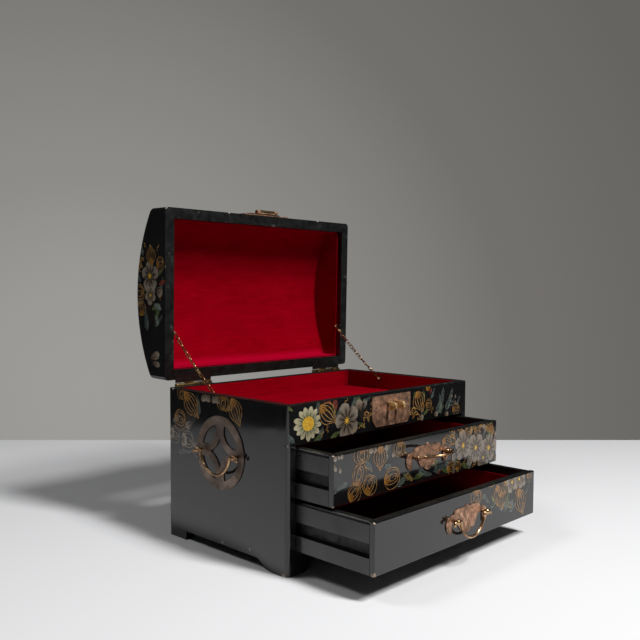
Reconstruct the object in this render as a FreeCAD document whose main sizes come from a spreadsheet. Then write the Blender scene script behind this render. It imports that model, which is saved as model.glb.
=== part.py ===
import FreeCAD, Part
import math
import os
import re

import Sketcher
from FreeCAD import Placement, Rotation, Vector

# Dome-lidded lacquer trinket chest with two side-hung drawers, brass fittings and a red lining.
# Millimetres. +X is the chest's right, -Y its front, +Z up. The origin is the middle of the
# footprint, on the plane that the feet stand on. The lid stands open on its two chains, both
# drawers are pulled out, and the bail of the upper drawer's pull is lifted.

SIZES = {
    # case
    "case_width": 300.0,
    "case_depth": 194.0,
    "side_thick": 10.4,
    "back_thick": 8.0,
    "corner_round": 4.5,
    "foot_height": 9.5,
    "front_foot_land": 16.0,
    "front_foot_length": 43.0,
    "rear_foot_length": 32.0,
    "bracket_land": 9.0,
    "bracket_length": 22.5,
    "apron_height": 13.9,
    "apron_thick": 9.0,
    "bottom_thick": 5.0,
    "fascia_thick": 8.0,
    "fascia_height": 39.1,
    "tray_depth": 21.0,
    "tray_floor_thick": 4.0,
    "lining_thick": 1.2,
    "lining_rim_drop": 0.6,
    # drawers and their runners
    "drawer_height": 48.5,
    "drawer_side_gap": 0.4,
    "drawer_sill_gap": 0.7,
    "drawer_between_gap": 2.8,
    "drawer_head_gap": 2.5,
    "drawer_rear_gap": 4.0,
    "drawer_front_thick": 9.0,
    "drawer_front_round": 1.2,
    "drawer_lip": 5.5,
    "drawer_side_thick": 9.0,
    "drawer_side_round": 3.5,
    "drawer_back_thick": 7.0,
    "drawer_bottom_thick": 3.0,
    "drawer_bottom_rise": 2.0,
    "drawer_lining_drop": 9.0,
    "groove_rise": 15.6,
    "groove_height": 12.8,
    "groove_depth": 5.2,
    "runner_top_gap": 0.3,
    "runner_under_gap": 1.0,
    "runner_side_gap": 0.5,
    "runner_front_gap": 1.0,
    "lower_drawer_out": 98.2,
    "upper_drawer_out": 48.7,
    # lid
    "lid_wall_height": 27.5,
    "lid_rise": 28.5,
    "lid_wall_thick": 12.0,
    "lid_top_thick": 5.0,
    "lid_lip": 7.5,
    "lid_seam": 0.5,
    "lid_open_angle": 89.0,
    # hinges
    "hinge_back": 6.5,
    "hinge_inset": 14.5,
    "hinge_length": 50.0,
    "hinge_leaf_thick": 0.9,
    "hinge_leaf_reach": 7.0,
    "hinge_swing_gap": 0.4,
    "knuckle_radius": 2.4,
    "knuckle_end_gap": 0.3,
    "hinge_pin_radius": 1.0,
    "pin_clearance": 0.06,
    "hinge_screw_radius": 1.5,
    "hinge_screw_core": 0.7,
    "hinge_screw_depth": 5.0,
    "hinge_screw_inset": 3.7,
    "hinge_screw_pitch": 17.0,
    # hasp on the lid
    "hasp_offset": 1.0,
    "hasp_width": 72.0,
    "hasp_height": 20.0,
    "hasp_rise": 0.7,
    "hasp_thick": 1.2,
    "hasp_axis_out": 4.4,
    "hasp_axis_up": 1.8,
    "hasp_knuckle_radius": 2.6,
    "hasp_knuckle_length": 33.0,
    "hasp_ear_length": 4.5,
    "hasp_pin_radius": 0.9,
    "hasp_pin_head_radius": 1.8,
    "hasp_pin_head_length": 1.0,
    "tongue_width": 50.0,
    "tongue_length": 31.0,
    "tongue_shoulder": 3.4,
    "tongue_rest_gap": 0.4,
    "tongue_slot_gap": 0.7,
    # fittings on the front, which sit a little right of the middle
    "front_offset": 4.0,
    "plate_thick": 1.2,
    "lock_width": 65.0,
    "lock_height": 33.0,
    "lock_top_drop": 3.1,
    "lock_clip_width": 5.5,
    "lock_clip_height": 8.0,
    "staple_spacing": 13.8,
    "staple_thick": 3.0,
    "staple_height": 8.4,
    "staple_reach": 13.2,
    "staple_bar": 1.9,
    "staple_drop": 10.3,
    "staple_nose_round": 3.4,
    "nail_radius": 1.1,
    "nail_height": 0.6,
    "nail_inset": 3.2,
    # drawer pulls
    "pull_width": 72.6,
    "pull_height": 29.0,
    "upper_pull_rise": 26.6,
    "lower_pull_rise": 22.9,
    "pull_post_spacing": 52.0,
    "pull_post_rise": 2.9,
    "pull_drop": 20.0,
    "pull_nail_spacing": 63.0,
    "pull_nail_drop": 4.6,
    "upper_bail_angle": 100.0,
    # side handles
    "coin_radius": 38.5,
    "coin_ring": 9.0,
    "coin_arc_distance": 34.0,
    "coin_lens_radius": 17.7,
    "coin_band": 7.6,
    "coin_rise": 106.0,
    "coin_back": 4.5,
    "coin_nail_count": 6.0,
    "handle_post_spacing": 59.0,
    "handle_drop": 22.0,
    # posts and bails of the pulls and of the handles
    "post_radius": 1.8,
    "post_head_radius": 3.0,
    "post_reach": 7.6,
    "bail_radius": 1.45,
    "bail_clearance": 0.07,
    "bail_bend": 2.6,
    "bail_shoulder": 10.0,
    "bail_end_gap": 0.4,
    "bail_curl": 2.2,
    "bail_tail": 1.4,
    # chains that stay the lid
    "case_eye_back": 30.0,
    "case_eye_drop": 6.5,
    "lid_eye_up": 53.0,
    "lid_eye_in": 5.0,
    "eye_ring_radius": 1.7,
    "eye_wire_radius": 0.7,
    "eye_reach": 4.0,
    "eye_collar_radius": 2.0,
    "eye_collar_thick": 0.6,
    "eye_shank_depth": 5.0,
    "link_length": 7.6,
    "link_width": 4.4,
    "link_wire_radius": 0.5,
    "link_slack": 0.1,
}

doc = FreeCAD.newDocument("LacquerChest")
sheet = doc.addObject("Spreadsheet::Sheet", "Sizes")
for row, (alias, number) in enumerate(SIZES.items(), start=1):
    sheet.set(f"A{row}", alias.replace("_", " "))
    sheet.set(f"B{row}", str(number))
    sheet.setAlias(f"B{row}", alias)
doc.recompute()

# Places that several pieces share, as formulas on the sheet's sizes.
INNER_HALF = "(case_width / 2 - side_thick)"
FRONT = "(-case_depth / 2)"
BACK = "(case_depth / 2)"
LOWER_BOTTOM = "(foot_height + apron_height + drawer_sill_gap)"
UPPER_BOTTOM = f"({LOWER_BOTTOM} + drawer_height + drawer_between_gap)"
FASCIA_BOTTOM = f"({UPPER_BOTTOM} + drawer_height + drawer_head_gap)"
CASE_TOP = f"({FASCIA_BOTTOM} + fascia_height)"
TRAY_FLOOR = f"({CASE_TOP} - tray_depth - lining_thick)"

# Places on the lid are measured from the axis of its hinge pins, with the lid shut.
PIN_Y = f"({BACK} + hinge_back)"
PIN_Z = f"({CASE_TOP} + lid_seam / 2)"
LID_FRONT = "(-hinge_back - case_depth)"
LID_BACK = "(-hinge_back)"
LID_RIM = "(lid_seam / 2)"
LID_WALL_TOP = f"({LID_RIM} + lid_wall_height)"
LID_TOP = f"({LID_WALL_TOP} + lid_rise)"
LID_RADIUS = "((case_depth ^ 2 / 4 + lid_rise ^ 2) / (2 * lid_rise))"
LID_INNER_HALF = "(case_width / 2 - lid_wall_thick)"

# The hasp's own pin, from the same axis.
HASP_PIN_Y = f"({LID_FRONT} - hasp_axis_out)"
HASP_PIN_Z = f"({LID_RIM} + hasp_axis_up)"

nodes = []


def size(alias):
    """A driving dimension as a number, for the shapes that Part's functions make."""
    return float(sheet.get(alias))


def bind(thing, prop, text):
    """Binds a property to a formula in which a size is written by its bare name."""
    def cell(word):
        return f"Sizes.{word.group()}" if word.group() in SIZES else word.group()
    thing.setExpression(prop, re.sub(r"[a-z_]+", cell, str(text)))


def piece(thing, name):
    """Makes thing the sub-part called name."""
    thing.Label = name
    nodes.append(thing)
    return thing


def place(thing, x="0", y="0", z="0"):
    for axis, text in zip("xyz", (x, y, z)):
        bind(thing, f"Placement.Base.{axis}", text)
    return thing


def hang_on_lid(thing):
    """Moves a piece made about the hinge axis, with the lid shut, to where the open lid holds it."""
    thing.Placement = Placement(Vector(), Rotation(Vector(1, 0, 0), -size("lid_open_angle")))
    bind(thing, "Placement.Rotation.Angle", "-lid_open_angle")
    return place(thing, "0", PIN_Y, PIN_Z)


# Part primitives and booleans


def box(name, low, high):
    """A box between two corners given as formulas."""
    thing = doc.addObject("Part::Box", name)
    for prop, start, end in zip(("Length", "Width", "Height"), low, high):
        bind(thing, prop, f"({end}) - ({start})")
    return place(thing, *low)


def cylinder(name, axis, radius, length, base):
    """A cylinder from its base point along +x, +y or +z."""
    turns = {"x": Rotation(Vector(0, 1, 0), 90), "y": Rotation(Vector(1, 0, 0), -90), "z": Rotation()}
    thing = doc.addObject("Part::Cylinder", name)
    thing.Placement = Placement(Vector(), turns[axis])
    bind(thing, "Radius", radius)
    bind(thing, "Height", length)
    return place(thing, *base)


def ball(name, radius, centre):
    thing = doc.addObject("Part::Sphere", name)
    bind(thing, "Radius", radius)
    return place(thing, *centre)


def fuse(name, shapes):
    thing = doc.addObject("Part::MultiFuse", name)
    thing.Shapes = shapes
    thing.Refine = True
    return thing


def common(name, shapes):
    thing = doc.addObject("Part::MultiCommon", name)
    thing.Shapes = shapes
    return thing


def cut(name, base, tools):
    thing = doc.addObject("Part::Cut", name)
    thing.Base = base
    thing.Tool = tools[0] if len(tools) == 1 else group(f"{name}_tools", tools)
    return thing


def group(name, shapes):
    """Several solids in one object, as identical fasteners share a node."""
    thing = doc.addObject("Part::Compound", name)
    thing.Links = shapes
    return thing


def feature(name, shape):
    thing = doc.addObject("Part::Feature", name)
    thing.Shape = shape
    return thing


# PartDesign bodies


def slab(name, plane, outline, low, high):
    """A body whose straight-sided outline on an origin plane is padded from low to high."""
    body = doc.addObject("PartDesign::Body", name)
    sketch = body.newObject("Sketcher::SketchObject", f"{name}_outline")
    sketch.AttachmentSupport = [(next(f for f in body.Origin.OriginFeatures if f.Role == plane), "")]
    sketch.MapMode = "FlatFace"
    # The XZ plane's normal is -Y, the other two look along +X and +Z.
    bind(sketch, "AttachmentOffset.Base.z", f"-({high})" if plane == "XZ_Plane" else low)
    count = len(outline)
    turns = [math.tau * i / count for i in range(count)]
    ring = [Vector(math.cos(turn), math.sin(turn), 0) for turn in turns]
    for i in range(count):
        sketch.addGeometry(Part.LineSegment(ring[i], ring[(i + 1) % count]), False)
    for i in range(count):
        sketch.addConstraint(Sketcher.Constraint("Coincident", i, 2, (i + 1) % count, 1))
    for i, corner in enumerate(outline):
        for kind, text, start in zip(("DistanceX", "DistanceY"), corner, (ring[i].x, ring[i].y)):
            index = sketch.addConstraint(Sketcher.Constraint(kind, -1, 1, i, 1, start))
            bind(sketch, f"Constraints[{index}]", text)
    pad = body.newObject("PartDesign::Pad", f"{name}_pad")
    pad.Profile = sketch
    bind(pad, "Length", f"({high}) - ({low})")
    body.Tip = pad
    return body


def rectangle(left, bottom, right, top):
    return [(left, bottom), (right, bottom), (right, top), (left, top)]


def round_edges(body, radius, *places):
    """Fillets straight edges. A place is an edge's axis and two sides of the body, as in z x- y+."""
    doc.recompute()
    base = body.Tip
    bounds = body.Shape.BoundBox
    sides = {"x-": bounds.XMin, "x+": bounds.XMax, "y-": bounds.YMin, "y+": bounds.YMax,
             "z-": bounds.ZMin, "z+": bounds.ZMax}
    names = []
    for number, edge in enumerate(body.Shape.Edges, start=1):
        for along, *where in (text.split() for text in places):
            if abs(getattr(edge.tangentAt(edge.FirstParameter), along)) < 1 - 1e-6:
                continue
            if all(abs(getattr(edge.CenterOfMass, side[0]) - sides[side]) < 1e-6 for side in where):
                names.append(f"Edge{number}")
    fillet = body.newObject("PartDesign::Fillet", f"{body.Name}_round")
    fillet.Base = (base, names)
    bind(fillet, "Radius", radius)
    body.Tip = fillet
    return body


# Case: two side panels that run down into feet, a back, a front apron with brackets, a bottom, the
# fascia that is let into the side panels, and the tray's floor and lining above the drawers.


def span(sign, near, far):
    """From near to far of the middle, along X, as low and high: on the right for 1, on the left for -1."""
    return (near, far) if sign > 0 else (f"-({far})", f"-({near})")


def side_panel(side, sign):
    left, right = span(sign, INNER_HALF, "case_width / 2")
    notch = f"{FRONT} + fascia_thick"
    outline = [(FRONT, "0"), (BACK, "0"), (BACK, CASE_TOP), (notch, CASE_TOP), (notch, FASCIA_BOTTOM),
               (FRONT, FASCIA_BOTTOM)]
    board = slab(f"{side}_side_board", "YZ_Plane", outline, left, right)
    edge = "x+" if sign > 0 else "x-"
    round_edges(board, "corner_round", f"z {edge} y-", f"z {edge} y+")
    land = f"{FRONT} + front_foot_land"
    gap = box(f"{side}_foot_gap", (left, land, "0"), (right, f"{BACK} - rear_foot_length", "foot_height"))
    radius = "((front_foot_length - front_foot_land) ^ 2 + foot_height ^ 2) / (2 * foot_height)"
    foot = cylinder(f"{side}_foot_round", "x", radius, "side_thick", (left, land, radius))
    scoop = cut(f"{side}_foot_scoop", gap, [foot])
    return piece(cut(f"{side}_side_panel", board, [scoop, eye_hole(side, sign)]), f"{side}_side_panel")


def eye_hole(side, sign):
    """The hole of a chain's screw eye, through the lining and into the side panel."""
    low, _ = span(sign, f"{INNER_HALF} - lining_thick", f"{INNER_HALF} + eye_shank_depth")
    return cylinder(f"{side}_eye_hole", "x", "eye_wire_radius", "lining_thick + eye_shank_depth",
                    (low, "case_eye_back", f"{CASE_TOP} - case_eye_drop"))


def case_shell():
    back_face = f"{BACK} - back_thick"
    low = (f"-{INNER_HALF}", f"{FRONT} + fascia_thick", f"{TRAY_FLOOR} - tray_floor_thick")
    piece(box("tray_floor", low, (INNER_HALF, back_face, TRAY_FLOOR)), "tray_floor")
    low = (f"-{INNER_HALF}", f"{FRONT} + apron_thick", "foot_height + apron_height - bottom_thick")
    piece(box("bottom_board", low, (INNER_HALF, back_face, "foot_height + apron_height")), "bottom_board")

    outline = rectangle("-case_width / 2", FRONT, "case_width / 2", f"{FRONT} + fascia_thick")
    fascia = slab("fascia", "XY_Plane", outline, FASCIA_BOTTOM, CASE_TOP)
    piece(round_edges(fascia, "corner_round", "z x- y-", "z x+ y-"), "fascia")

    board = box("back_board", (f"-{INNER_HALF}", back_face, "foot_height"), (INNER_HALF, BACK, CASE_TOP))
    seat = f"{BACK} - hinge_leaf_reach"
    seat_floor = f"{CASE_TOP} - hinge_leaf_thick"
    mortises = [box(f"{side}_case_mortise", (left, seat, seat_floor), (right, BACK, CASE_TOP))
                for side, left, right in HINGES]
    piece(cut("back_panel", board, mortises + screw_cores("case")), "back_panel")


def front_apron():
    """The rail under the drawers, with a bracket at each end that reaches the ground."""
    high = f"{FRONT} + apron_thick"
    top = "foot_height + apron_height"
    rail = box("apron_rail", (f"-{INNER_HALF}", FRONT, "0"), (INNER_HALF, high, top))
    land = f"({INNER_HALF} - bracket_land)"
    gap = box("apron_gap", (f"-{land}", FRONT, "0"), (land, high, "foot_height"))
    radius = "((bracket_length - bracket_land) ^ 2 + foot_height ^ 2) / (2 * foot_height)"
    rounds = [cylinder(f"apron_round_{n}", "y", radius, "apron_thick", (x, FRONT, radius))
              for n, x in enumerate((f"-{land}", land))]
    piece(cut("front_apron", rail, [cut("apron_scoop", gap, rounds)]), "front_apron")


def tray_lining():
    """The cloth skin of the tray, on its floor and up its walls to just under the rim."""
    low = (f"-{INNER_HALF}", f"{FRONT} + fascia_thick", TRAY_FLOOR)
    high = (INNER_HALF, f"{BACK} - back_thick", f"{CASE_TOP} - lining_rim_drop")
    hollow = lined(low, high, "lining_thick")
    skin = cut("tray_skin", box("tray_skin_block", low, high), [box("tray_hollow", *hollow)])
    holes = [eye_hole(f"{side}_lining", sign) for side, sign in SIDES]
    piece(cut("tray_lining", skin, holes), "tray_lining")


def lined(low, high, thick):
    """The hollow inside an open-topped skin of one thickness, out through its top."""
    inside_low = [f"{text} + {thick}" for text in low]
    inside_high = [f"{text} - {thick}" for text in high[:2]] + [f"{high[2]} + {thick}"]
    return inside_low, inside_high


def drawer_runners():
    """Battens on the side panels that run in the drawers' grooves."""
    battens = []
    for drawer, bottom in (("lower", LOWER_BOTTOM), ("upper", UPPER_BOTTOM)):
        for side, sign in SIDES:
            reach = "drawer_side_gap + groove_depth - runner_side_gap"
            left, right = span(sign, f"({INNER_HALF} - ({reach}))", INNER_HALF)
            front = f"{FRONT} + drawer_lip + runner_front_gap"
            under = f"{bottom} + groove_rise + runner_under_gap"
            top = f"{bottom} + groove_rise + groove_height - runner_top_gap"
            rear = f"{BACK} - back_thick"
            battens.append(box(f"{drawer}_{side}_batten", (left, front, under), (right, rear, top)))
    piece(group("drawer_runners", battens), "drawer_runners")


# Hinges of the lid: two leaves a side that interleave four knuckles on a pin.

SIDES = (("left", -1), ("right", 1))
HINGE_END = "(case_width / 2 - hinge_inset)"
HINGES = [(side, *span(sign, f"({HINGE_END} - hinge_length)", HINGE_END)) for side, sign in SIDES]


def screw_places(side):
    """Where a hinge's screws stand along X, the middle one at the middle of the leaf."""
    middle = f"({HINGE_END} - hinge_length / 2)"
    return [f"{dict(SIDES)[side]} * {middle} + {step} * hinge_screw_pitch" for step in (-1, 0, 1)]


def screw_cores(owner):
    """The screw holes in the wood under the case's leaves, or above the lid's."""
    return [screw_shank(f"{owner}_{side}_core_{n}", owner, x)
            for side, _ in SIDES for n, x in enumerate(screw_places(side))]


def screw_shank(name, owner, x):
    if owner == "case":
        base = (x, f"{BACK} - hinge_screw_inset", f"{CASE_TOP} - hinge_leaf_thick - hinge_screw_depth")
    else:
        base = (x, f"{LID_BACK} - hinge_screw_inset", f"{LID_RIM} + hinge_leaf_thick")
    return cylinder(name, "z", "hinge_screw_core", "hinge_screw_depth", base)


def screw_head(name, owner, x):
    """A flush head as thick as the leaf: it is also the shape of the leaf's hole."""
    y, z = (BACK, f"{CASE_TOP} - hinge_leaf_thick") if owner == "case" else (LID_BACK, LID_RIM)
    return cylinder(name, "z", "hinge_screw_radius", "hinge_leaf_thick", (x, f"{y} - hinge_screw_inset", z))


def hinge_leaf(owner, side, left, right):
    """One leaf with every second knuckle of the four, in the case's frame or in the shut lid's."""
    name = f"{side}_{owner}_hinge_leaf"
    if owner == "case":
        edge, axis, low, high = BACK, (PIN_Y, PIN_Z), f"{CASE_TOP} - hinge_leaf_thick", CASE_TOP
    else:
        edge, axis, low, high = LID_BACK, ("0", "0"), LID_RIM, f"{LID_RIM} + hinge_leaf_thick"
    plate = box(f"{name}_plate", (left, f"{edge} - hinge_leaf_reach", low), (right, axis[0], high))
    swing = f"{axis[0]} - knuckle_radius - hinge_swing_gap"
    knuckles = []
    slots = []
    for turn in range(4):
        start = f"{left} + {turn} * hinge_length / 4"
        end = f"{left} + {turn + 1} * hinge_length / 4"
        own_start = f"{start} + knuckle_end_gap / 2"
        own_end = f"{end} - knuckle_end_gap / 2"
        # The plate is cut back beside the other leaf's knuckles, and by the gaps beside its own.
        if (turn % 2 == 0) == (owner == "case"):
            length = "hinge_length / 4 - knuckle_end_gap"
            base = (own_start, *axis)
            knuckles.append(cylinder(f"{name}_knuckle_{turn}", "x", "knuckle_radius", length, base))
            gaps = [(start, own_start), (own_end, end)]
        else:
            gaps = [(start, end)]
        for a, b in gaps:
            slots.append(box(f"{name}_slot_{len(slots)}", (a, swing, low), (b, axis[0], high)))
    comb = cut(f"{name}_comb", plate, slots)
    bore = cylinder(f"{name}_bore", "x", "hinge_pin_radius + pin_clearance", "hinge_length", (left, *axis))
    holes = [screw_head(f"{name}_hole_{n}", owner, x) for n, x in enumerate(screw_places(side))]
    leaf = cut(name, fuse(f"{name}_blank", [comb] + knuckles), [bore] + holes)
    return piece(leaf if owner == "case" else hang_on_lid(leaf), name)


def lid_hinges():
    for side, left, right in HINGES:
        hinge_leaf("case", side, left, right)
        hinge_leaf("lid", side, left, right)
    pins = [cylinder(f"{side}_hinge_pin", "x", "hinge_pin_radius", "hinge_length", (left, PIN_Y, PIN_Z))
            for side, left, _ in HINGES]
    piece(group("hinge_pins", pins), "hinge_pins")
    for owner in ("case", "lid"):
        screws = []
        for side, _ in SIDES:
            for n, x in enumerate(screw_places(side)):
                name = f"{owner}_{side}_screw_{n}"
                shank = screw_shank(f"{name}_shank", owner, x)
                screws.append(fuse(name, [shank, screw_head(f"{name}_head", owner, x)]))
        set_of_six = group(f"{owner}_hinge_screws", screws)
        piece(set_of_six if owner == "case" else hang_on_lid(set_of_six), f"{owner}_hinge_screws")


# Lid: four walls, two of them arched ends, under a barrel top, with a padded cloth lining.


def lid_drum(name, thick):
    """The round of the lid's top, or the same less a thickness, as a cylinder along X."""
    centre = (f"-case_width / 2", f"{LID_BACK} - case_depth / 2", f"{LID_TOP} - {LID_RADIUS}")
    return cylinder(name, "x", f"{LID_RADIUS} - ({thick})", "case_width", centre)


def lid_block(name, left, right, low, high):
    """A stretch of the lid's rounded rectangular outline, from one height to another."""
    outline = rectangle("-case_width / 2", LID_FRONT, "case_width / 2", LID_BACK)
    body = slab(name, "XY_Plane", outline, low, high)
    round_edges(body, "corner_round", "z x- y-", "z x+ y-", "z x- y+", "z x+ y+")
    stretch = box(f"{name}_stretch", (left, LID_FRONT, low), (right, LID_BACK, high))
    return common(f"{name}_part", [body, stretch])


def lid_shell():
    block = lid_block("lid_arch_block", "-case_width / 2", "case_width / 2", LID_WALL_TOP, LID_TOP)
    arch = common("lid_arch", [block, lid_drum("lid_outside", "0")])
    piece(hang_on_lid(cut("lid_top", arch, [lid_drum("lid_inside", "lid_top_thick")])), "lid_top")

    for side, sign in SIDES:
        left, right = span(sign, LID_INNER_HALF, "case_width / 2")
        low_end = lid_block(f"{side}_end_low", left, right, LID_RIM, LID_WALL_TOP)
        block = lid_block(f"{side}_end_high", left, right, LID_WALL_TOP, LID_TOP)
        high_end = common(f"{side}_gable", [block, lid_drum(f"{side}_gable_round", "lid_top_thick")])
        low, _ = span(sign, LID_INNER_HALF, f"({LID_INNER_HALF} + eye_shank_depth)")
        hole = cylinder(f"{side}_lid_eye_hole", "x", "eye_wire_radius", "eye_shank_depth",
                        (low, f"{LID_BACK} - lid_eye_up", f"{LID_RIM} + lid_eye_in"))
        end = cut(f"lid_{side}_end", fuse(f"{side}_end_blank", [low_end, high_end]), [hole])
        piece(hang_on_lid(end), f"lid_{side}_end")

    front_low = (f"-{LID_INNER_HALF}", LID_FRONT, LID_RIM)
    front_high = (LID_INNER_HALF, f"{LID_FRONT} + lid_wall_thick", LID_WALL_TOP)
    front = box("lid_front_board", front_low, front_high)
    piece(hang_on_lid(group("lid_front_wall", [front])), "lid_front_wall")

    rear_low = (f"-{LID_INNER_HALF}", f"{LID_BACK} - lid_wall_thick", LID_RIM)
    rear = box("lid_rear_board", rear_low, (LID_INNER_HALF, LID_BACK, LID_WALL_TOP))
    mortises = [box(f"{side}_lid_mortise", (left, f"{LID_BACK} - hinge_leaf_reach", LID_RIM),
                    (right, LID_BACK, f"{LID_RIM} + hinge_leaf_thick")) for side, left, right in HINGES]
    piece(hang_on_lid(cut("lid_rear_wall", rear, mortises + screw_cores("lid"))), "lid_rear_wall")


def lid_lining():
    """The lid's lining, set back from the rim by a bare wooden lip."""
    low = (f"-{LID_INNER_HALF}", f"({LID_FRONT} + lid_wall_thick)", f"({LID_RIM} + lid_lip)")
    high = (LID_INNER_HALF, f"({LID_BACK} - lid_wall_thick)", LID_TOP)
    block = box("lid_lining_block", low, high)
    outside = common("lid_lining_outside", [block, lid_drum("lining_out", "lid_top_thick")])
    hollow_low = [f"{text} + lining_thick" for text in low[:2]] + [f"{low[2]} - lining_thick"]
    hollow_high = [f"{text} - lining_thick" for text in high[:2]] + [high[2]]
    hollow = box("lid_lining_hollow", hollow_low, hollow_high)
    inside = common("lid_lining_inside", [hollow, lid_drum("lining_in", "lid_top_thick + lining_thick")])
    piece(hang_on_lid(cut("lid_lining", outside, [inside])), "lid_lining")


# Drawers: a front that laps the ends of the sides, grooved sides, a back, a bottom and a lining.


def drawer(name, bottom, out):
    face = f"({FRONT} - {out})"
    half = f"({INNER_HALF} - drawer_side_gap)"
    inside = f"({half} - drawer_side_thick)"
    lap = f"{face} + drawer_lip"
    top = f"{bottom} + drawer_height"
    rear = f"({face} + case_depth - back_thick - drawer_rear_gap)"

    behind = f"({face} + drawer_front_thick)"
    outline = [(f"-{half}", face), (half, face), (half, lap), (inside, lap),
               (inside, behind), (f"-{inside}", behind), (f"-{inside}", lap), (f"-{half}", lap)]
    front = slab(f"{name}_front", "XY_Plane", outline, bottom, top)
    round_edges(front, "drawer_front_round", "x y- z+", "z x- y-", "z x+ y-", "x y- z-")
    piece(front, f"{name}_front")

    for side, sign in SIDES:
        x_out, x_in, x_groove = (f"{sign} * {text}" for text in (half, inside, f"({half} - groove_depth)"))
        groove = (f"{bottom} + groove_rise", f"{bottom} + groove_rise + groove_height")
        outline = [(x_in, bottom), (x_out, bottom), (x_out, groove[0]), (x_groove, groove[0]),
                   (x_groove, groove[1]), (x_out, groove[1]), (x_out, top), (x_in, top)]
        board = slab(f"{name}_{side}_side", "XZ_Plane", outline, lap, rear)
        round_edges(board, "drawer_side_round", "y x+ z+" if sign > 0 else "y x- z+")
        piece(board, f"{name}_{side}_side")

    back_face = f"({rear} - drawer_back_thick)"
    floor = f"({bottom} + drawer_bottom_rise)"
    piece(box(f"{name}_back", (f"-{inside}", back_face, bottom), (inside, rear, top)), f"{name}_back")
    floor_top = f"{floor} + drawer_bottom_thick"
    low = (f"-{inside}", behind, floor)
    piece(box(f"{name}_bottom", low, (inside, back_face, floor_top)), f"{name}_bottom")

    low = (f"-{inside}", behind, floor_top)
    high = (inside, back_face, f"{top} - drawer_lining_drop")
    hollow = box(f"{name}_hollow", *lined(low, high, "lining_thick"))
    piece(cut(f"{name}_lining", box(f"{name}_lining_block", low, high), [hollow]), f"{name}_lining")


# Posts and bails: a bail's ends pass through the round heads of two posts and curl down outside.


def post(name, shank_axis, shank_base, hole_axis, centre):
    shank = cylinder(f"{name}_shank", shank_axis, "post_radius", "post_reach - plate_thick", shank_base)
    blank = fuse(f"{name}_blank", [shank, ball(f"{name}_head", "post_head_radius", centre)])
    start = list(centre)
    start["xyz".index(hole_axis)] += " - 2 * post_head_radius"
    radius = "bail_radius + bail_clearance"
    hole = cylinder(f"{name}_hole", hole_axis, radius, "4 * post_head_radius", start)
    return cut(name, blank, [hole])


def bail_shape(spacing, drop):
    """A bail about its pivot line, which is the X axis, hanging towards -Z."""
    bend = size("bail_bend")
    shoulder = size("bail_shoulder")
    curl = size("bail_curl")
    beside_head = size("post_head_radius") + size("bail_end_gap")
    arm = spacing / 2 - beside_head - bend
    outer = spacing / 2 + beside_head + curl
    # The foot of the bail is one large arc that the shoulders' arcs run into.
    fall = drop - bend
    large = (arm ** 2 - 2 * arm * shoulder + fall ** 2) / (2 * (fall - shoulder))
    large_centre = Vector(0, 0, large - drop)
    shoulder_centre = Vector(arm - shoulder, 0, -bend)
    outward = (shoulder_centre - large_centre).normalize()
    halfway = (outward + Vector(1, 0, 0)).normalize()

    def half(mirror):
        def at(x, z):
            return Vector(mirror * x, 0, z)

        def arc(centre, radius, *directions):
            points = (centre + direction * radius for direction in directions)
            return Part.Arc(*(at(point.x, point.z) for point in points)).toShape()

        down, out, diagonal = Vector(0, 0, -1), Vector(1, 0, 0), math.sqrt(0.5)
        middle = (down * 0.5 + outward * 0.5).normalize()
        return [
            Part.LineSegment(at(outer, -curl - size("bail_tail")), at(outer, -curl)).toShape(),
            arc(Vector(outer - curl, 0, -curl), curl, out, Vector(diagonal, 0, diagonal), -down),
            Part.LineSegment(at(outer - curl, 0), at(arm + bend, 0)).toShape(),
            arc(Vector(arm + bend, 0, -bend), bend, -down, Vector(-diagonal, 0, diagonal), -out),
            arc(shoulder_centre, shoulder, out, halfway, outward),
            arc(large_centre, large, outward, middle, down),
        ]

    path = Part.Wire(half(1) + half(-1)[::-1])
    tail = Vector(outer, 0, -curl - size("bail_tail"))
    section = Part.Wire(Part.makeCircle(size("bail_radius"), tail, Vector(0, 0, 1)))
    return path.makePipeShell([section], True, True)


# Front fittings. They stand on the face of the fascia or of a drawer front, and share a middle line.


def nails(name, axis, places):
    """Round nail heads on a plate; places are the centres of the heads' undersides."""
    return group(name, [cylinder(f"{name}_{number}", axis, "nail_radius", "nail_height", base)
                        for number, base in enumerate(places)])


def unit_curve(points, half_width, half_height, mirror):
    curve = Part.BSplineCurve()
    curve.interpolate([Vector(mirror * x * half_width, 0, z * half_height) for x, z in points])
    return curve.toShape()


# The left half of a pull's plate from its top cusp to its bottom lobe, in half widths and half
# heights. Each row is one smooth stretch, and the rows meet in cusps.
PULL_OUTLINE = [
    [(0, 1.02), (-0.07, 0.9), (-0.15, 0.86), (-0.25, 0.88), (-0.32, 0.85)],
    [(-0.32, 0.85), (-0.44, 0.87), (-0.56, 0.78), (-0.64, 0.57)],
    [(-0.64, 0.57), (-0.77, 0.55), (-0.9, 0.38), (-0.99, 0.07), (-0.97, -0.38), (-0.83, -0.71)],
    [(-0.83, -0.71), (-0.75, -0.55), (-0.745, -0.1), (-0.7, 0.14), (-0.6, 0.13), (-0.48, 0.03)],
    [(-0.48, 0.03), (-0.44, -0.24), (-0.37, -0.5), (-0.29, -0.71)],
    [(-0.29, -0.71), (-0.2, -0.72), (-0.12, -0.85), (0, -0.98)],
]


def pull_plate_shape():
    """A pull's plate with its back on the XZ plane, reaching towards -Y."""
    halves = [(size("pull_width") / 2, size("pull_height") / 2, mirror) for mirror in (1, -1)]
    edges = [unit_curve(stretch, *halves[0]) for stretch in PULL_OUTLINE]
    edges += [unit_curve(stretch[::-1], *halves[1]) for stretch in PULL_OUTLINE[::-1]]
    return Part.Face(Part.Wire(edges)).extrude(Vector(0, -size("plate_thick"), 0))


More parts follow.
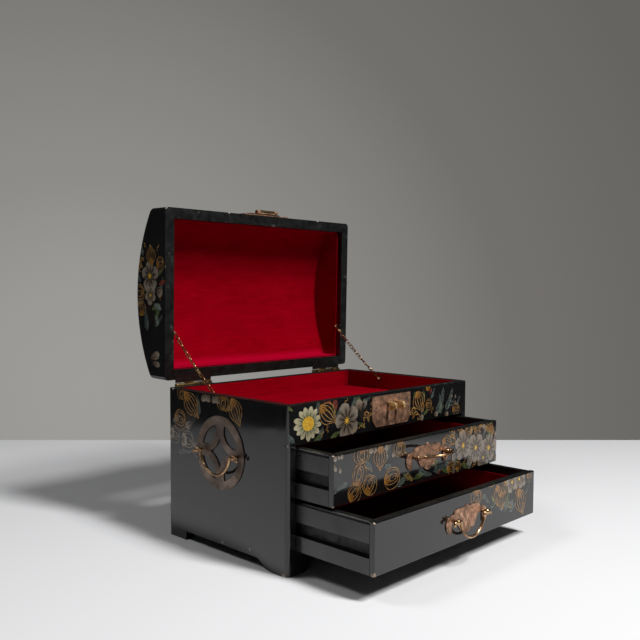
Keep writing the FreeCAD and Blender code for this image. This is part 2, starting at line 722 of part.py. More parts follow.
def drawer_pull(name, bottom, out, rise, lift):
    face = f"({FRONT} - {out})"
    middle = f"({bottom} + {rise})"
    pivot = f"({middle} + pull_post_rise)"
    plate = feature(f"{name}_pull_plate", pull_plate_shape())
    piece(place(plate, "front_offset", face, middle), f"{name}_pull_plate")

    posts = []
    for side, sign in SIDES:
        centre = (f"front_offset + {sign} * pull_post_spacing / 2", f"{face} - post_reach", pivot)
        posts.append(post(f"{name}_{side}_post", "y", centre, "x", centre))
    piece(group(f"{name}_pull_posts", posts), f"{name}_pull_posts")

    level = f"{face} - plate_thick - nail_height"
    wings = [(f"front_offset + {sign} * pull_nail_spacing / 2", level, f"{middle} - pull_nail_drop")
             for _, sign in SIDES]
    lobe = ("front_offset", level, f"{middle} - pull_height / 2 + nail_inset + nail_radius")
    piece(nails(f"{name}_pull_nails", "y", wings + [lobe]), f"{name}_pull_nails")

    bail = feature(f"{name}_pull_bail", bail_shape(size("pull_post_spacing"), size("pull_drop")))
    bail.Placement = Placement(Vector(), Rotation(Vector(1, 0, 0), -float(lift)))
    if lift:
        bind(bail, "Placement.Rotation.Angle", "-upper_bail_angle")
    piece(place(bail, "front_offset", f"{face} - post_reach", pivot), f"{name}_pull_bail")


def lock_plate():
    """The plate on the fascia, its lower corners clipped."""
    half = "lock_width / 2"
    top = f"{CASE_TOP} - lock_top_drop"
    low = f"{top} - lock_height"
    clip = f"{low} + lock_clip_height"
    left, right = f"front_offset - {half}", f"front_offset + {half}"
    outline = [(f"{left} + lock_clip_width", low), (f"{right} - lock_clip_width", low), (right, clip),
               (right, top), (left, top), (left, clip)]
    piece(slab("lock_plate", "XZ_Plane", outline, f"{FRONT} - plate_thick", FRONT), "lock_plate")


def lock_staples():
    """Two staples that pass through the hasp's slots and take a padlock between plate and nose."""
    back = f"{FRONT} - plate_thick"
    nose = f"{FRONT} - staple_reach"
    top = f"{CASE_TOP} - staple_drop"
    staples = []
    for side, sign in SIDES:
        middle = f"(front_offset + {sign} * staple_spacing / 2)"
        outline = rectangle(nose, f"{top} - staple_height", back, top)
        left, right = f"{middle} - staple_thick / 2", f"{middle} + staple_thick / 2"
        strap = slab(f"{side}_strap", "YZ_Plane", outline, left, right)
        round_edges(strap, "staple_nose_round", "x y- z-", "x y- z+")
        foot = f"{top} - staple_height + staple_bar"
        eye = rectangle(f"{nose} + staple_bar", foot, back, f"{top} - staple_bar")
        hole = slab(f"{side}_eye", "YZ_Plane", eye, f"{middle} - staple_thick", f"{middle} + staple_thick")
        round_edges(hole, "staple_nose_round - staple_bar", "x y- z-", "x y- z+")
        staples.append(cut(f"{side}_staple", strap, [hole]))
    piece(group("lock_staples", staples), "lock_staples")


# Hasp: a fixed leaf on the lid's front wall, whose upper ears hold the tongue's knuckle on a pin. The
# tongue is folded back over the leaf, and turns half round to hang over the staples.


def hasp():
    middle = "hasp_offset"
    face = f"({LID_FRONT} - hasp_thick)"
    ears = "hasp_knuckle_length / 2"
    inner = f"({ears} - hasp_ear_length)"
    leaf = box("hasp_leaf", (f"{middle} - hasp_width / 2", face, f"{LID_RIM} + hasp_rise"),
               (f"{middle} + hasp_width / 2", LID_FRONT, f"{LID_RIM} + hasp_rise + hasp_height"))
    parts = [leaf]
    for side, sign in SIDES:
        left, right = span(sign, inner, ears)
        low = (f"{middle} + {left}", HASP_PIN_Y, f"{HASP_PIN_Z} - hasp_thick / 2")
        high = (f"{middle} + {right}", LID_FRONT, f"{HASP_PIN_Z} + hasp_thick / 2")
        parts.append(box(f"hasp_{side}_web", low, high))
        parts.append(cylinder(f"hasp_{side}_ear", "x", "hasp_knuckle_radius", "hasp_ear_length",
                              (low[0], HASP_PIN_Y, HASP_PIN_Z)))
    start = (f"{middle} - hasp_width / 2", HASP_PIN_Y, HASP_PIN_Z)
    bore = cylinder("hasp_ear_bore", "x", "hasp_pin_radius", "hasp_width", start)
    piece(hang_on_lid(cut("hasp_plate", fuse("hasp_blank", parts), [bore])), "hasp_plate")

    pin = [cylinder("hasp_pin_shank", "x", "hasp_pin_radius", "hasp_knuckle_length",
                    (f"{middle} - {ears}", HASP_PIN_Y, HASP_PIN_Z))]
    for side, sign in SIDES:
        left, _ = span(sign, ears, f"({ears} + hasp_pin_head_length)")
        pin.append(cylinder(f"hasp_{side}_pin_head", "x", "hasp_pin_head_radius", "hasp_pin_head_length",
                            (f"{middle} + {left}", HASP_PIN_Y, HASP_PIN_Z)))
    piece(hang_on_lid(fuse("hasp_pin", pin)), "hasp_pin")
    hasp_tongue(middle, face, inner)

    places = [(f"{middle} + {sign} * (hasp_width / 2 - nail_inset)", f"{face} - nail_height",
               f"{LID_RIM} + hasp_rise + {height}")
              for _, sign in SIDES for height in ("nail_inset", "hasp_height - nail_inset")]
    piece(hang_on_lid(nails("hasp_nails", "y", places)), "hasp_nails")


def hasp_tongue(middle, face, inner):
    low_y = f"({face} - tongue_rest_gap - hasp_thick)"
    high_y = f"({face} - tongue_rest_gap)"
    knuckle_half = f"({inner} - knuckle_end_gap)"
    half = "tongue_width / 2"
    shoulder = f"{HASP_PIN_Z} + tongue_shoulder"
    tip = f"{HASP_PIN_Z} + tongue_length"
    neck = (f"{middle} - {knuckle_half}", f"{middle} + {knuckle_half}")
    edge = (f"{middle} - {half}", f"{middle} + {half}")
    outline = [(neck[0], HASP_PIN_Z), (neck[1], HASP_PIN_Z), (neck[1], shoulder), (edge[1], shoulder),
               (edge[1], tip), (edge[0], tip), (edge[0], shoulder), (neck[0], shoulder)]
    plate = slab("tongue_plate", "XZ_Plane", outline, low_y, high_y)
    knuckle = cylinder("tongue_knuckle", "x", "hasp_knuckle_radius", f"2 * {knuckle_half}",
                       (f"{middle} - {knuckle_half}", HASP_PIN_Y, HASP_PIN_Z))
    bore = cylinder("tongue_bore", "x", "hasp_pin_radius + pin_clearance", "hasp_width",
                    (f"{middle} - hasp_width / 2", HASP_PIN_Y, HASP_PIN_Z))
    # The slots clear the staples as the tongue swings over them: the near end by the top of a staple
    # with the tongue down, and the far end by the furthest reach of a staple's rounded nose.
    pin_drop = "(staple_drop + lid_seam + hasp_axis_up)"
    near = f"{HASP_PIN_Z} + {pin_drop} - tongue_slot_gap"
    reach = "(staple_reach - hasp_axis_out - staple_nose_round)"
    depth = f"({pin_drop} + staple_height - staple_nose_round)"
    far = f"{HASP_PIN_Z} + sqrt({reach} ^ 2 + {depth} ^ 2) + staple_nose_round + tongue_slot_gap"
    slots = []
    for side, sign in SIDES:
        centre = f"(front_offset + {sign} * staple_spacing / 2)"
        reach_x = "(staple_thick / 2 + tongue_slot_gap)"
        slots.append(box(f"tongue_{side}_slot", (f"{centre} - {reach_x}", low_y, near),
                         (f"{centre} + {reach_x}", high_y, far)))
    tongue = cut("hasp_tongue", fuse("tongue_blank", [plate, knuckle]), slots + [bore])
    piece(hang_on_lid(tongue), "hasp_tongue")


# Side handles: a pierced round plate, two posts and a bail on each side panel.


def coin_plate(side, sign):
    """A ring joined by four crossing arcs, which leave four lenses and a hollow-sided diamond open."""
    low, _ = span(sign, "case_width / 2", "(case_width / 2 + plate_thick)")
    centre = (low, "coin_back", "coin_rise")

    def disc(name, radius, turn_y=0, turn_z=0):
        offset = "coin_arc_distance * sqrt(0.5)"
        base = (centre[0], f"{centre[1]} + {turn_y} * {offset}", f"{centre[2]} + {turn_z} * {offset}")
        return cylinder(f"{side}_coin_{name}", "x", radius, "plate_thick", base)

    corners = [(turn_y, turn_z) for turn_y in (-1, 1) for turn_z in (-1, 1)]
    inside = "coin_radius - coin_ring"
    lenses = []
    arcs = []
    for n, corner in enumerate(corners):
        lens = disc(f"lens_{n}", "coin_lens_radius", *corner)
        lenses.append(common(f"{side}_lens_{n}", [disc(f"inside_{n}", inside), lens]))
        arcs.append(disc(f"arc_{n}", "coin_lens_radius + coin_band", *corner))
    # The diamond lies between the arcs, inside the square that their centres mark.
    reach = "coin_arc_distance * sqrt(0.5)"
    square = box(f"{side}_coin_square", (low, f"coin_back - {reach}", f"coin_rise - {reach}"),
                 (f"{low} + plate_thick", f"coin_back + {reach}", f"coin_rise + {reach}"))
    diamond = cut(f"{side}_diamond", square, [fuse(f"{side}_arcs", arcs)])
    plate = cut(f"{side}_handle_plate", disc("outside", "coin_radius"), lenses + [diamond])
    piece(plate, f"{side}_handle_plate")


def side_handles():
    posts = []
    heads = []
    for side, sign in SIDES:
        coin_plate(side, sign)
        pivot_x = f"{sign} * (case_width / 2 + post_reach)"
        for end, step in (("front", -1), ("rear", 1)):
            centre = (pivot_x, f"coin_back + {step} * handle_post_spacing / 2", "coin_rise")
            low, _ = span(sign, "(case_width / 2 + plate_thick)", "(case_width / 2 + post_reach)")
            posts.append(post(f"{side}_{end}_post", "x", (low, *centre[1:]), "y", centre))
        bail = feature(f"{side}_handle_bail", bail_shape(size("handle_post_spacing"), size("handle_drop")))
        bail.Placement = Placement(Vector(), Rotation(Vector(0, 0, 1), 90))
        piece(place(bail, pivot_x, "coin_back", "coin_rise"), f"{side}_handle_bail")
        plate_face = "(case_width / 2 + plate_thick)"
        low, _ = span(sign, plate_face, f"({plate_face} + nail_height)")
        for turn in range(int(size("coin_nail_count"))):
            bearing = f"(90 + 360 * {turn} / coin_nail_count)"
            ring = "(coin_radius - nail_inset)"
            across, up = f"{ring} * cos({bearing})", f"{ring} * sin({bearing})"
            heads.append((low, f"coin_back + {across}", f"coin_rise + {up}"))
    piece(group("handle_posts", posts), "handle_posts")
    return heads


def lock_nails():
    """Nails along the top and down the straight sides of the lock plate, and at its lower corners."""
    level = f"{FRONT} - plate_thick - nail_height"
    top = f"({CASE_TOP} - lock_top_drop - nail_inset)"
    straight = "(lock_height - lock_clip_height - nail_inset)"
    places = []
    for _, sign in SIDES:
        edge = f"front_offset + {sign} * (lock_width / 2 - nail_inset)"
        for step in range(3):
            places.append((edge, level, f"{top} - {step} * {straight} / 2"))
        places.append((f"front_offset + {sign} * lock_width / 6", level, top))
        places.append((f"front_offset + {sign} * (lock_width / 2 - lock_clip_width - nail_inset)", level,
                       f"{top} + 2 * nail_inset - lock_height"))
    return places


def case_plate_nails(handle_heads):
    front = nails("lock_nails", "y", lock_nails())
    sides = nails("coin_heads", "x", handle_heads)
    piece(group("case_plate_nails", [front, sides]), "case_plate_nails")


# Chains that stay the lid: a screw eye in each side panel and in each end of the lid, and oval links
# a quarter turn from one to the next, in a straight line between the eyes.


def screw_eye(face, sign, depth, along):
    """An eye in a wall: a ring in the plane of X and the chain, a collar and a shank in the wood."""
    out = Vector(-sign, 0, 0)
    wire = size("eye_wire_radius")
    ring = Part.makeTorus(size("eye_ring_radius"), wire, face + out * size("eye_reach"), out.cross(along))
    collar = Part.makeCylinder(size("eye_collar_radius"), size("eye_collar_thick"), face, out)
    length = depth + size("eye_reach") - size("eye_ring_radius")
    shank = Part.makeCylinder(wire, length, face - out * depth, out)
    return ring.fuse([collar, shank])


def chain_link():
    """One link about the origin, long along X and flat in the XY plane."""
    wire = size("link_wire_radius")
    bend = size("link_width") / 2 - wire
    straight = (size("link_length") - size("link_width")) / 2
    edges = []
    for sign in (1, -1):
        start = Vector(-sign * straight, sign * bend, 0)
        end = Vector(sign * straight, sign * bend, 0)
        tip = Vector(sign * (straight + bend), 0, 0)
        edges.append(Part.LineSegment(start, end).toShape())
        edges.append(Part.Arc(end, tip, Vector(end.x, -end.y, 0)).toShape())
    section = Part.Wire(Part.makeCircle(wire, edges[0].Vertexes[0].Point, Vector(1, 0, 0)))
    return Part.Wire(edges).makePipeShell([section], True, True)


def stay_chain(start, end):
    """Links from inside one eye's ring to inside the other's, given the middles of the rings."""
    wire = size("link_wire_radius")
    across = Vector(1, 0, 0)
    along = (end - start).normalize()
    # Where the first link's outer end lies, past the middle of its ring.
    hold = size("eye_ring_radius") - size("eye_wire_radius") - size("link_slack") / 2 - 2 * wire
    run = (end - start).Length - 2 * hold - size("link_length")
    tight = size("link_length") - 4 * wire - size("link_slack")
    # An even number of steps, so that the last link stands across its ring like the first.
    steps = 2 * math.ceil(run / tight / 2)
    links = []
    for number in range(steps + 1):
        normal = across.cross(along) if number % 2 else across
        link = chain_link()
        middle = start + along * (hold + size("link_length") / 2 + run * number / steps)
        link.Placement = Placement(middle, Rotation(along, Vector(), normal, "XZY"))
        links.append(link)
    return Part.makeCompound(links)


def lid_chains(hinge, case_top):
    """Eyes and chains, from a point on the axis of the hinge pins and the height of the case's rim."""
    turn = Rotation(Vector(1, 0, 0), -size("lid_open_angle"))
    on_lid = Vector(0, -size("hinge_back") - size("lid_eye_up"), size("lid_seam") / 2 + size("lid_eye_in"))
    eyes = {"case": [], "lid": []}
    chains = []
    for side, sign in SIDES:
        inner = size("case_width") / 2 - size("side_thick") - size("lining_thick")
        case_face = Vector(sign * inner, size("case_eye_back"), case_top - size("case_eye_drop"))
        lid_face = turn.multVec(on_lid) + hinge
        lid_face.x = sign * (size("case_width") / 2 - size("lid_wall_thick"))
        reach = Vector(-sign * size("eye_reach"), 0, 0)
        start, end = case_face + reach, lid_face + reach
        along = (end - start).normalize()
        case_depth = size("lining_thick") + size("eye_shank_depth")
        eyes["case"].append(screw_eye(case_face, sign, case_depth, along))
        eyes["lid"].append(screw_eye(lid_face, sign, size("eye_shank_depth"), along))
        chains.append((f"{side}_stay_chain", stay_chain(start, end)))
    for owner in ("case", "lid"):
        piece(feature(f"{owner}_chain_eyes", Part.makeCompound(eyes[owner])), f"{owner}_chain_eyes")
    for name, chain in chains:
        piece(feature(name, chain), name)


def check_and_write():
    doc.recompute()
    for thing in doc.Objects:
        if {"Invalid", "Error"} & set(thing.State):
            raise RuntimeError(f"{thing.Label}: {thing.State}")
    for thing in nodes:
        if thing.Shape.isNull() or not thing.Shape.isValid() or not thing.Shape.Solids:
            raise RuntimeError(f"{thing.Label} is not a valid solid")
    os.makedirs("parts", exist_ok=True)
    for thing in nodes:
        thing.Shape.exportStep(f"parts/{thing.Label}.step")


for side_name, side_sign in SIDES:
    side_panel(side_name, side_sign)
case_shell()
front_apron()
tray_lining()
drawer_runners()
lid_hinges()
lid_shell()
lid_lining()
hasp()
lock_plate()
lock_staples()
drawer("lower_drawer", LOWER_BOTTOM, "lower_drawer_out")
drawer("upper_drawer", UPPER_BOTTOM, "upper_drawer_out")
drawer_pull("lower", LOWER_BOTTOM, "lower_drawer_out", "lower_pull_rise", 0)
drawer_pull("upper", UPPER_BOTTOM, "upper_drawer_out", "upper_pull_rise", size("upper_bail_angle"))
case_plate_nails(side_handles())
doc.recompute()
rim = doc.getObject("fascia").Shape.BoundBox.ZMax
lid_chains(doc.getObject("hinge_pins").Shape.BoundBox.Center, rim)
check_and_write()
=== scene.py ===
"""Looks for the lacquered trinket box: worn wood, velvet, aged brass, stay chains and painted flowers."""
import math
import random

import bmesh
import bpy
from mathutils import Matrix, Vector


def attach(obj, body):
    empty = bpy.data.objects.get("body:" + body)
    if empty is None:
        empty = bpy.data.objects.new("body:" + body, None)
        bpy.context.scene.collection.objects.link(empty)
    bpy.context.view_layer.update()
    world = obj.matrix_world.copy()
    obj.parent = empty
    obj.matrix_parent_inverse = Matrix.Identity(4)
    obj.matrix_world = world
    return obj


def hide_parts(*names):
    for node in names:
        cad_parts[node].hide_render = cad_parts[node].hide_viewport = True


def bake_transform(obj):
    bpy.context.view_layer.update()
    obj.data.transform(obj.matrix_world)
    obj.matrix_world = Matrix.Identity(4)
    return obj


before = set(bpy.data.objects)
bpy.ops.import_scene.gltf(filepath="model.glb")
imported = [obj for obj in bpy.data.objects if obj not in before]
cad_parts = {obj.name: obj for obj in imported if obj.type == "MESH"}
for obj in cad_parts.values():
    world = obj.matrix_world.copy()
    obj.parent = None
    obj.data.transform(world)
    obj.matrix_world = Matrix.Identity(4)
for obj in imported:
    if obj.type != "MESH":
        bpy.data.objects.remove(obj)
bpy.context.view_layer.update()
scene = bpy.context.scene
MM = 0.001

# Faces and joints, in millimetres. A drawer has its front face and its lower edge. Boards meet on the seams and
# end on the butts. A face that looks up from over a rim's height is the rim's.
HALF_WIDTH, FRONT, RIM, WALL_INSIDE = 150, -97, 165, 140
FRONT_SEAM, PANEL_BUTT, LID_BUTT, DRAWER_BUTT = 89, 139.6, 138, 130.2
DRAWERS = {"lower": (-195.2, 24.1), "upper": (-145.7, 75.4)}
DRAWER_SEAM, DRAWER_RIM, DRAWER_GROOVE = 5.5, 48, 138
TOUCHING, FACING = 0.04, 0.9

# The lid's own directions in the open pose: up through its top, and back along its walls. Its top is part of a
# drum, whose axis is given along them, as is the seam under the top.
LID_PIN = Vector((0, 103.5, 165.75))
LID_BACK = Vector((0, 0.017452, -0.999848))
LID_UP = Vector((0, 0.999848, 0.017452))
DRUM_BACK, DRUM_UP, DRUM_RADIUS = -103.5, -123.05, 179.3
LID_SEAM, LID_TOP_THICK = 27.75, 5


def mm(x, y, z):
    return Vector((x, y, z)) * MM


# Camera, lamps and table.

CAMERA_PLACE = (-644.84, -620.85, 274.19)
CAMERA_HEADING, CAMERA_DIP, CAMERA_LEAN = -45.753, 3.216, 0.236
CAMERA_LENS, CAMERA_SHIFT = 43.35, 0.0217

LAMP_AIM = (0, -0.02, 0.12)
LAMPS = {  # Where each stands in metres, how wide it is, and its watts.
    "front_softbox": ((0.08, -1.0, 1.75), 0.3, 22),
    "low_softbox": ((0.16, -1.2, 1.5), 0.34, 17),
    "back_softbox": ((-0.8, 0.6, 1.6), 0.5, 6),
}

# The table's back edge runs square to the camera. Its other edges are where its image in the lacquer ends.
TABLE_CORNERS = [(-300, 1008), (835, -109), (700, -480), (250, -610), (-180, -760), (-600, -1100),
                 (-1250, -700), (-900, 203)]

WALL_BRIGHTEST = (0.48, 0.87, -0.12)
WALL_SHADES = [(0.72, (0.133, 0.127, 0.117)), (0.86, (0.17, 0.163, 0.152)), (0.97, (0.27, 0.265, 0.25)),
               (1.0, (0.335, 0.33, 0.315))]
FILL_COLOUR, FILL_STRENGTH = (0.9, 0.95, 1.0, 1), 0.025
DARK_ROOM = (0.02, 0.02, 0.022, 1)
TABLE_COLOUR, TABLE_ROUGHNESS = (0.86, 0.86, 0.87), 0.55


def set_camera():
    scene.view_settings.view_transform = "Standard"
    camera = bpy.data.objects.new("camera", bpy.data.cameras.new("camera"))
    scene.collection.objects.link(camera)
    camera.data.sensor_width = 36
    camera.data.lens = CAMERA_LENS
    camera.data.shift_y = CAMERA_SHIFT
    turn = Matrix.Rotation(math.radians(CAMERA_HEADING), 4, "Z")
    turn = turn @ Matrix.Rotation(math.radians(90 - CAMERA_DIP), 4, "X")
    turn = turn @ Matrix.Rotation(math.radians(CAMERA_LEAN), 4, "Z")
    camera.matrix_world = Matrix.Translation(mm(*CAMERA_PLACE)) @ turn
    scene.camera = camera


def set_lamps():
    for name, (place, size, watts) in LAMPS.items():
        light = bpy.data.lights.new(name, "AREA")
        light.shape = "DISK"
        light.size = size
        light.energy = watts
        holder = bpy.data.objects.new(name, light)
        scene.collection.objects.link(holder)
        holder.location = place
        holder.rotation_euler = (Vector(LAMP_AIM) - Vector(place)).to_track_quat("-Z", "Y").to_euler()


def background(tree, colour, strength=1.0):
    node = tree.nodes.new("ShaderNodeBackground")
    node.inputs["Strength"].default_value = strength
    if isinstance(colour, tuple):
        node.inputs["Color"].default_value = colour
    else:
        tree.links.new(colour, node.inputs["Color"])
    return node.outputs["Background"]


def either(tree, ray, no, yes):
    """One shader or another, as the kind of ray that meets it."""
    node = tree.nodes.new("ShaderNodeMixShader")
    tree.links.new(ray, node.inputs["Fac"])
    tree.links.new(no, node.inputs[1])
    tree.links.new(yes, node.inputs[2])
    return node.outputs["Shader"]


def set_world():
    """A grey wall that only the camera sees, a faint fill, and a dark room for the lacquer to mirror."""
    world = bpy.data.worlds.new("studio")
    world.use_nodes = True
    scene.world = world
    tree = world.node_tree
    tree.nodes.clear()
    direction = tree.nodes.new("ShaderNodeTexCoord")
    toward = tree.nodes.new("ShaderNodeVectorMath")
    toward.operation = "DOT_PRODUCT"
    toward.inputs[1].default_value = Vector(WALL_BRIGHTEST).normalized()
    tree.links.new(direction.outputs["Generated"], toward.inputs[0])
    wall = background(tree, ramp(tree, toward.outputs["Value"], WALL_SHADES))
    fill = background(tree, FILL_COLOUR, FILL_STRENGTH)
    dark = background(tree, DARK_ROOM)
    ray = tree.nodes.new("ShaderNodeLightPath")
    seen = either(tree, ray.outputs["Is Camera Ray"], fill, wall)
    seen = either(tree, ray.outputs["Is Glossy Ray"], seen, dark)
    output = tree.nodes.new("ShaderNodeOutputWorld")
    tree.links.new(seen, output.inputs["Surface"])


def set_table():
    mesh = bpy.data.meshes.new("table_top")
    mesh.from_pydata([mm(x, y, 0) for x, y in TABLE_CORNERS], [], [list(range(len(TABLE_CORNERS)))[::-1]])
    table = bpy.data.objects.new("table_top", mesh)
    scene.collection.objects.link(table)
    mesh.materials.append(finish("table_paint", TABLE_COLOUR, TABLE_ROUGHNESS)[0])


# Finishes. Patterns follow Object coordinates, or the piece's own UV map where they follow a brush.


def finish(name, colour=(0.5, 0.5, 0.5), roughness=0.5, **sockets):
    material = bpy.data.materials.new(name)
    material.use_nodes = True
    tree = material.node_tree
    shader = tree.nodes["Principled BSDF"]
    shader.inputs["Base Color"].default_value = (*colour, 1)
    shader.inputs["Roughness"].default_value = roughness
    for socket, value in sockets.items():
        shader.inputs[socket.replace("_", " ")].default_value = value
    return material, tree, shader


def place_of(tree, kind="Object", stretch=(1, 1, 1)):
    coordinates = tree.nodes.new("ShaderNodeTexCoord")
    mapping = tree.nodes.new("ShaderNodeMapping")
    mapping.inputs["Scale"].default_value = stretch
    tree.links.new(coordinates.outputs[kind], mapping.inputs["Vector"])
    return mapping.outputs["Vector"]


def mottle(tree, scale, detail=3, roughness=0.55, stretch=(1, 1, 1)):
    """Noise from 0 to 1, with scale in lumps a metre."""
    noise = tree.nodes.new("ShaderNodeTexNoise")
    noise.inputs["Scale"].default_value = scale
    noise.inputs["Detail"].default_value = detail
    noise.inputs["Roughness"].default_value = roughness
    tree.links.new(place_of(tree, "Object", stretch), noise.inputs["Vector"])
    return noise.outputs["Fac"]


def link(tree, source, socket):
    """Links a socket, or a mottle given by its scale and the rest."""
    tree.links.new(mottle(tree, *source) if isinstance(source, tuple) else source, socket)


def ramp(tree, source, stops):
    node = tree.nodes.new("ShaderNodeValToRGB")
    elements = node.color_ramp.elements
    while len(elements) < len(stops):
        elements.new(0.5)
    for element, (at, colour) in zip(elements, stops):
        element.position = at
        element.color = (*colour, 1)
    link(tree, source, node.inputs["Fac"])
    return node.outputs["Color"]


def level(tree, source, low, high, new_low=0.0, new_high=1.0):
    node = tree.nodes.new("ShaderNodeMapRange")
    for socket, value in zip(("From Min", "From Max", "To Min", "To Max"), (low, high, new_low, new_high)):
        node.inputs[socket].default_value = value
    link(tree, source, node.inputs["Value"])
    return node.outputs["Result"]


def combine(tree, how, a, b=0):
    node = tree.nodes.new("ShaderNodeMath")
    node.operation = how
    for socket, value in zip(node.inputs, (a, b)):
        if isinstance(value, (int, float)):
            socket.default_value = value
        else:
            tree.links.new(value, socket)
    return node.outputs["Value"]


def tint(tree, amount, under, over):
    """One colour over another, by an amount from 0 to 1."""
    node = tree.nodes.new("ShaderNodeMix")
    node.data_type = "RGBA"
    tree.links.new(amount, node.inputs["Factor"])
    for socket, value in (("A", under), ("B", over)):
        target = [s for s in node.inputs if s.name == socket and s.type == "RGBA"][0]
        if isinstance(value, tuple):
            target.default_value = (*value, 1)
        else:
            tree.links.new(value, target)
    return [s for s in node.outputs if s.type == "RGBA"][0]


def coat(tree, shader, colour, gloss, *bumps):
    """Lays on a colour, a roughness and bumps, each a real depth in metres and the mottle that it follows."""
    tree.links.new(colour, shader.inputs["Base Color"])
    if gloss is not None:
        tree.links.new(gloss, shader.inputs["Roughness"])
    under = None
    for depth, *noise in bumps:
        node = tree.nodes.new("ShaderNodeBump")
        node.inputs["Distance"].default_value = depth
        link(tree, tuple(noise), node.inputs["Height"])
        if under is not None:
            tree.links.new(under, node.inputs["Normal"])
        under = node.outputs["Normal"]
    tree.links.new(under, shader.inputs["Normal"])


def distance(tree, position, place):
    node = tree.nodes.new("ShaderNodeVectorMath")
    node.operation = "DISTANCE"
    node.inputs[1].default_value = place
    tree.links.new(position, node.inputs[0])
    return node.outputs["Value"]


def axes(tree, kind="Object"):
    node = tree.nodes.new("ShaderNodeSeparateXYZ")
    tree.links.new(place_of(tree, kind), node.inputs["Vector"])
    return node.outputs


# The band low on the lid's velvet with a painted highlight, for light on the lining's curved lower edge, and
# how far from the hinge pin its leaves are bare, in metres.
HIGHLIGHT_BAND_HEAD, HIGHLIGHT_BAND_FOOT = (0.194, 0.187), (0.17, 0.175)
KNUCKLE = 0.0034, 0.003
BRUSH_MARKS = 0.00005, 900, 2

# Brass: brown, middling and yellow, how rough the brown and the yellow are, patches a metre, and how metallic.
BRASSES = {
    "aged_brass": ((0.11, 0.08, 0.055), (0.36, 0.19, 0.115), (0.72, 0.41, 0.26), (0.55, 0.34), 170, 0.6),
    "coin_brass": ((0.075, 0.05, 0.04), (0.16, 0.115, 0.09), (0.28, 0.21, 0.17), (0.55, 0.36), 45, 0.75),
    "handled_brass": ((0.09, 0.05, 0.025), (0.34, 0.2, 0.105), (0.66, 0.46, 0.26), (0.4, 0.2), 90),
    "rubbed_brass": ((0.4, 0.24, 0.08), (0.75, 0.5, 0.2), (0.95, 0.72, 0.36), (0.42, 0.26), 120, 0.55),
    "nail_brass": ((0.1, 0.06, 0.04), (0.26, 0.17, 0.11), (0.5, 0.36, 0.24), (0.5, 0.3), 200, 0.8),
    "chain_brass": ((0.1, 0.05, 0.025), (0.3, 0.17, 0.075), (0.7, 0.46, 0.22), (0.4, 0.22), 300),
}

# Chips down to the wood: a place in millimetres and a radius.
CHIPS = [(-139, -195, 24.5, 3.4), (-139, -195, 72.4, 1.5), (139, -195, 24.3, 1.6), (-139, -145.5, 123.7, 1.5),
         (-139, -145.5, 75.6, 1.6), (-150, 2, 12, 1.4), (-150, -42, 15, 1.6), (-150, -91, 1, 2.6),
         (-150, -96.5, 126.3, 1.7), (-150, -96.5, 165.3, 1.4), (150, -96.5, 165.3, 1.2), (-150, 88, 165.3, 1.5),
         (-150, 100.5, 366, 2.4), (-150, 100.5, 173, 2.0), (-150, 100.5, 300, 1.0), (-150, 100.5, 236, 1.2),
         (150, 100.5, 366, 1.5), (150, 100.5, 250, 1.1), (-60, 100.5, 366.4, 1.2), (90, 100.5, 366.4, 1.4)]


def chipped(tree):
    """1 within any of the chips, with a ragged edge."""
    position = place_of(tree)
    ragged = level(tree, (900, 2), 0.3, 0.7, 0.45, 1.35)
    found = None
    for x, y, z, radius in CHIPS:
        limit = combine(tree, "MULTIPLY", ragged, radius * MM)
        inside = combine(tree, "LESS_THAN", distance(tree, position, mm(x, y, z)), limit)
        found = inside if found is None else combine(tree, "MAXIMUM", found, inside)
    return found


def lacquer(name, dull=0.0):
    """Thick black gloss lacquer: dust, rubbed patches, a slightly uneven skin and small chips."""
    material, tree, shader = finish(name, roughness=0.08, IOR=1.6)
    base = ramp(tree, (14, 4), [(0.3, (0.004, 0.004, 0.0045)), (0.7, (0.009, 0.0085, 0.0085))])
    dust = level(tree, (1600, 2), 0.70, 0.74)
    base = tint(tree, combine(tree, "MULTIPLY", dust, 0.12), base, (0.3, 0.28, 0.25))
    gloss = level(tree, (22, 5, 0.65), 0.35, 0.72, 0.055 + dull, 0.14 + 2 * dull)
    scuffs = level(tree, (260, 3, 0.55, (1, 1, 0.12)), 0.64, 0.7, 0, 0.1)
    gloss = combine(tree, "ADD", gloss, scuffs)
    chip = chipped(tree)
    base = tint(tree, chip, base, (0.28, 0.21, 0.15))
    gloss = combine(tree, "MAXIMUM", gloss, combine(tree, "MULTIPLY", chip, 0.6))
    coat(tree, shader, base, gloss, (0.00007, 26, 2), (0.000004, 420, 2))
    return material


def worn_lacquer(name, bare, streaks):
    """Lacquer on an edge or rim: dull and greyed, rubbed through in flecks to filler and wood."""
    material, tree, shader = finish(name, Specular_IOR_Level=0.3)
    base = ramp(tree, (60, 4), [(0.35, (0.003, 0.0036, 0.0033)), (0.7, (0.009, 0.01, 0.009))])
    rubbed = level(tree, (200, 5, 0.75, (0.35, 1, 0.35)), 0.66 - streaks, 0.78 - streaks)
    base = tint(tree, combine(tree, "MULTIPLY", rubbed, 0.6), base, (0.2, 0.195, 0.18))
    fleck = level(tree, (260, 5, 0.8), 0.765 - bare, 0.775 - bare)
    fleck = combine(tree, "MAXIMUM", fleck, chipped(tree))
    wood = ramp(tree, (500, 2), [(0.4, (0.46, 0.33, 0.2)), (0.6, (0.66, 0.62, 0.55))])
    base = tint(tree, fleck, base, wood)
    coat(tree, shader, base, level(tree, (150, 4), 0.3, 0.7, 0.26, 0.6), (0.00004, 480, 3))
    return material


def raw_wood(name):
    """Unlacquered inside faces, stained black."""
    material, tree, shader = finish(name)
    base = ramp(tree, (60, 5, 0.55, (1, 1, 6)), [(0.3, (0.008, 0.007, 0.007)), (0.75, (0.03, 0.026, 0.023))])
    gloss = level(tree, (80, 3), 0.3, 0.7, 0.45, 0.7)
    coat(tree, shader, base, gloss, (0.00006, 300, 4, 0.55, (1, 1, 8)))
    return material


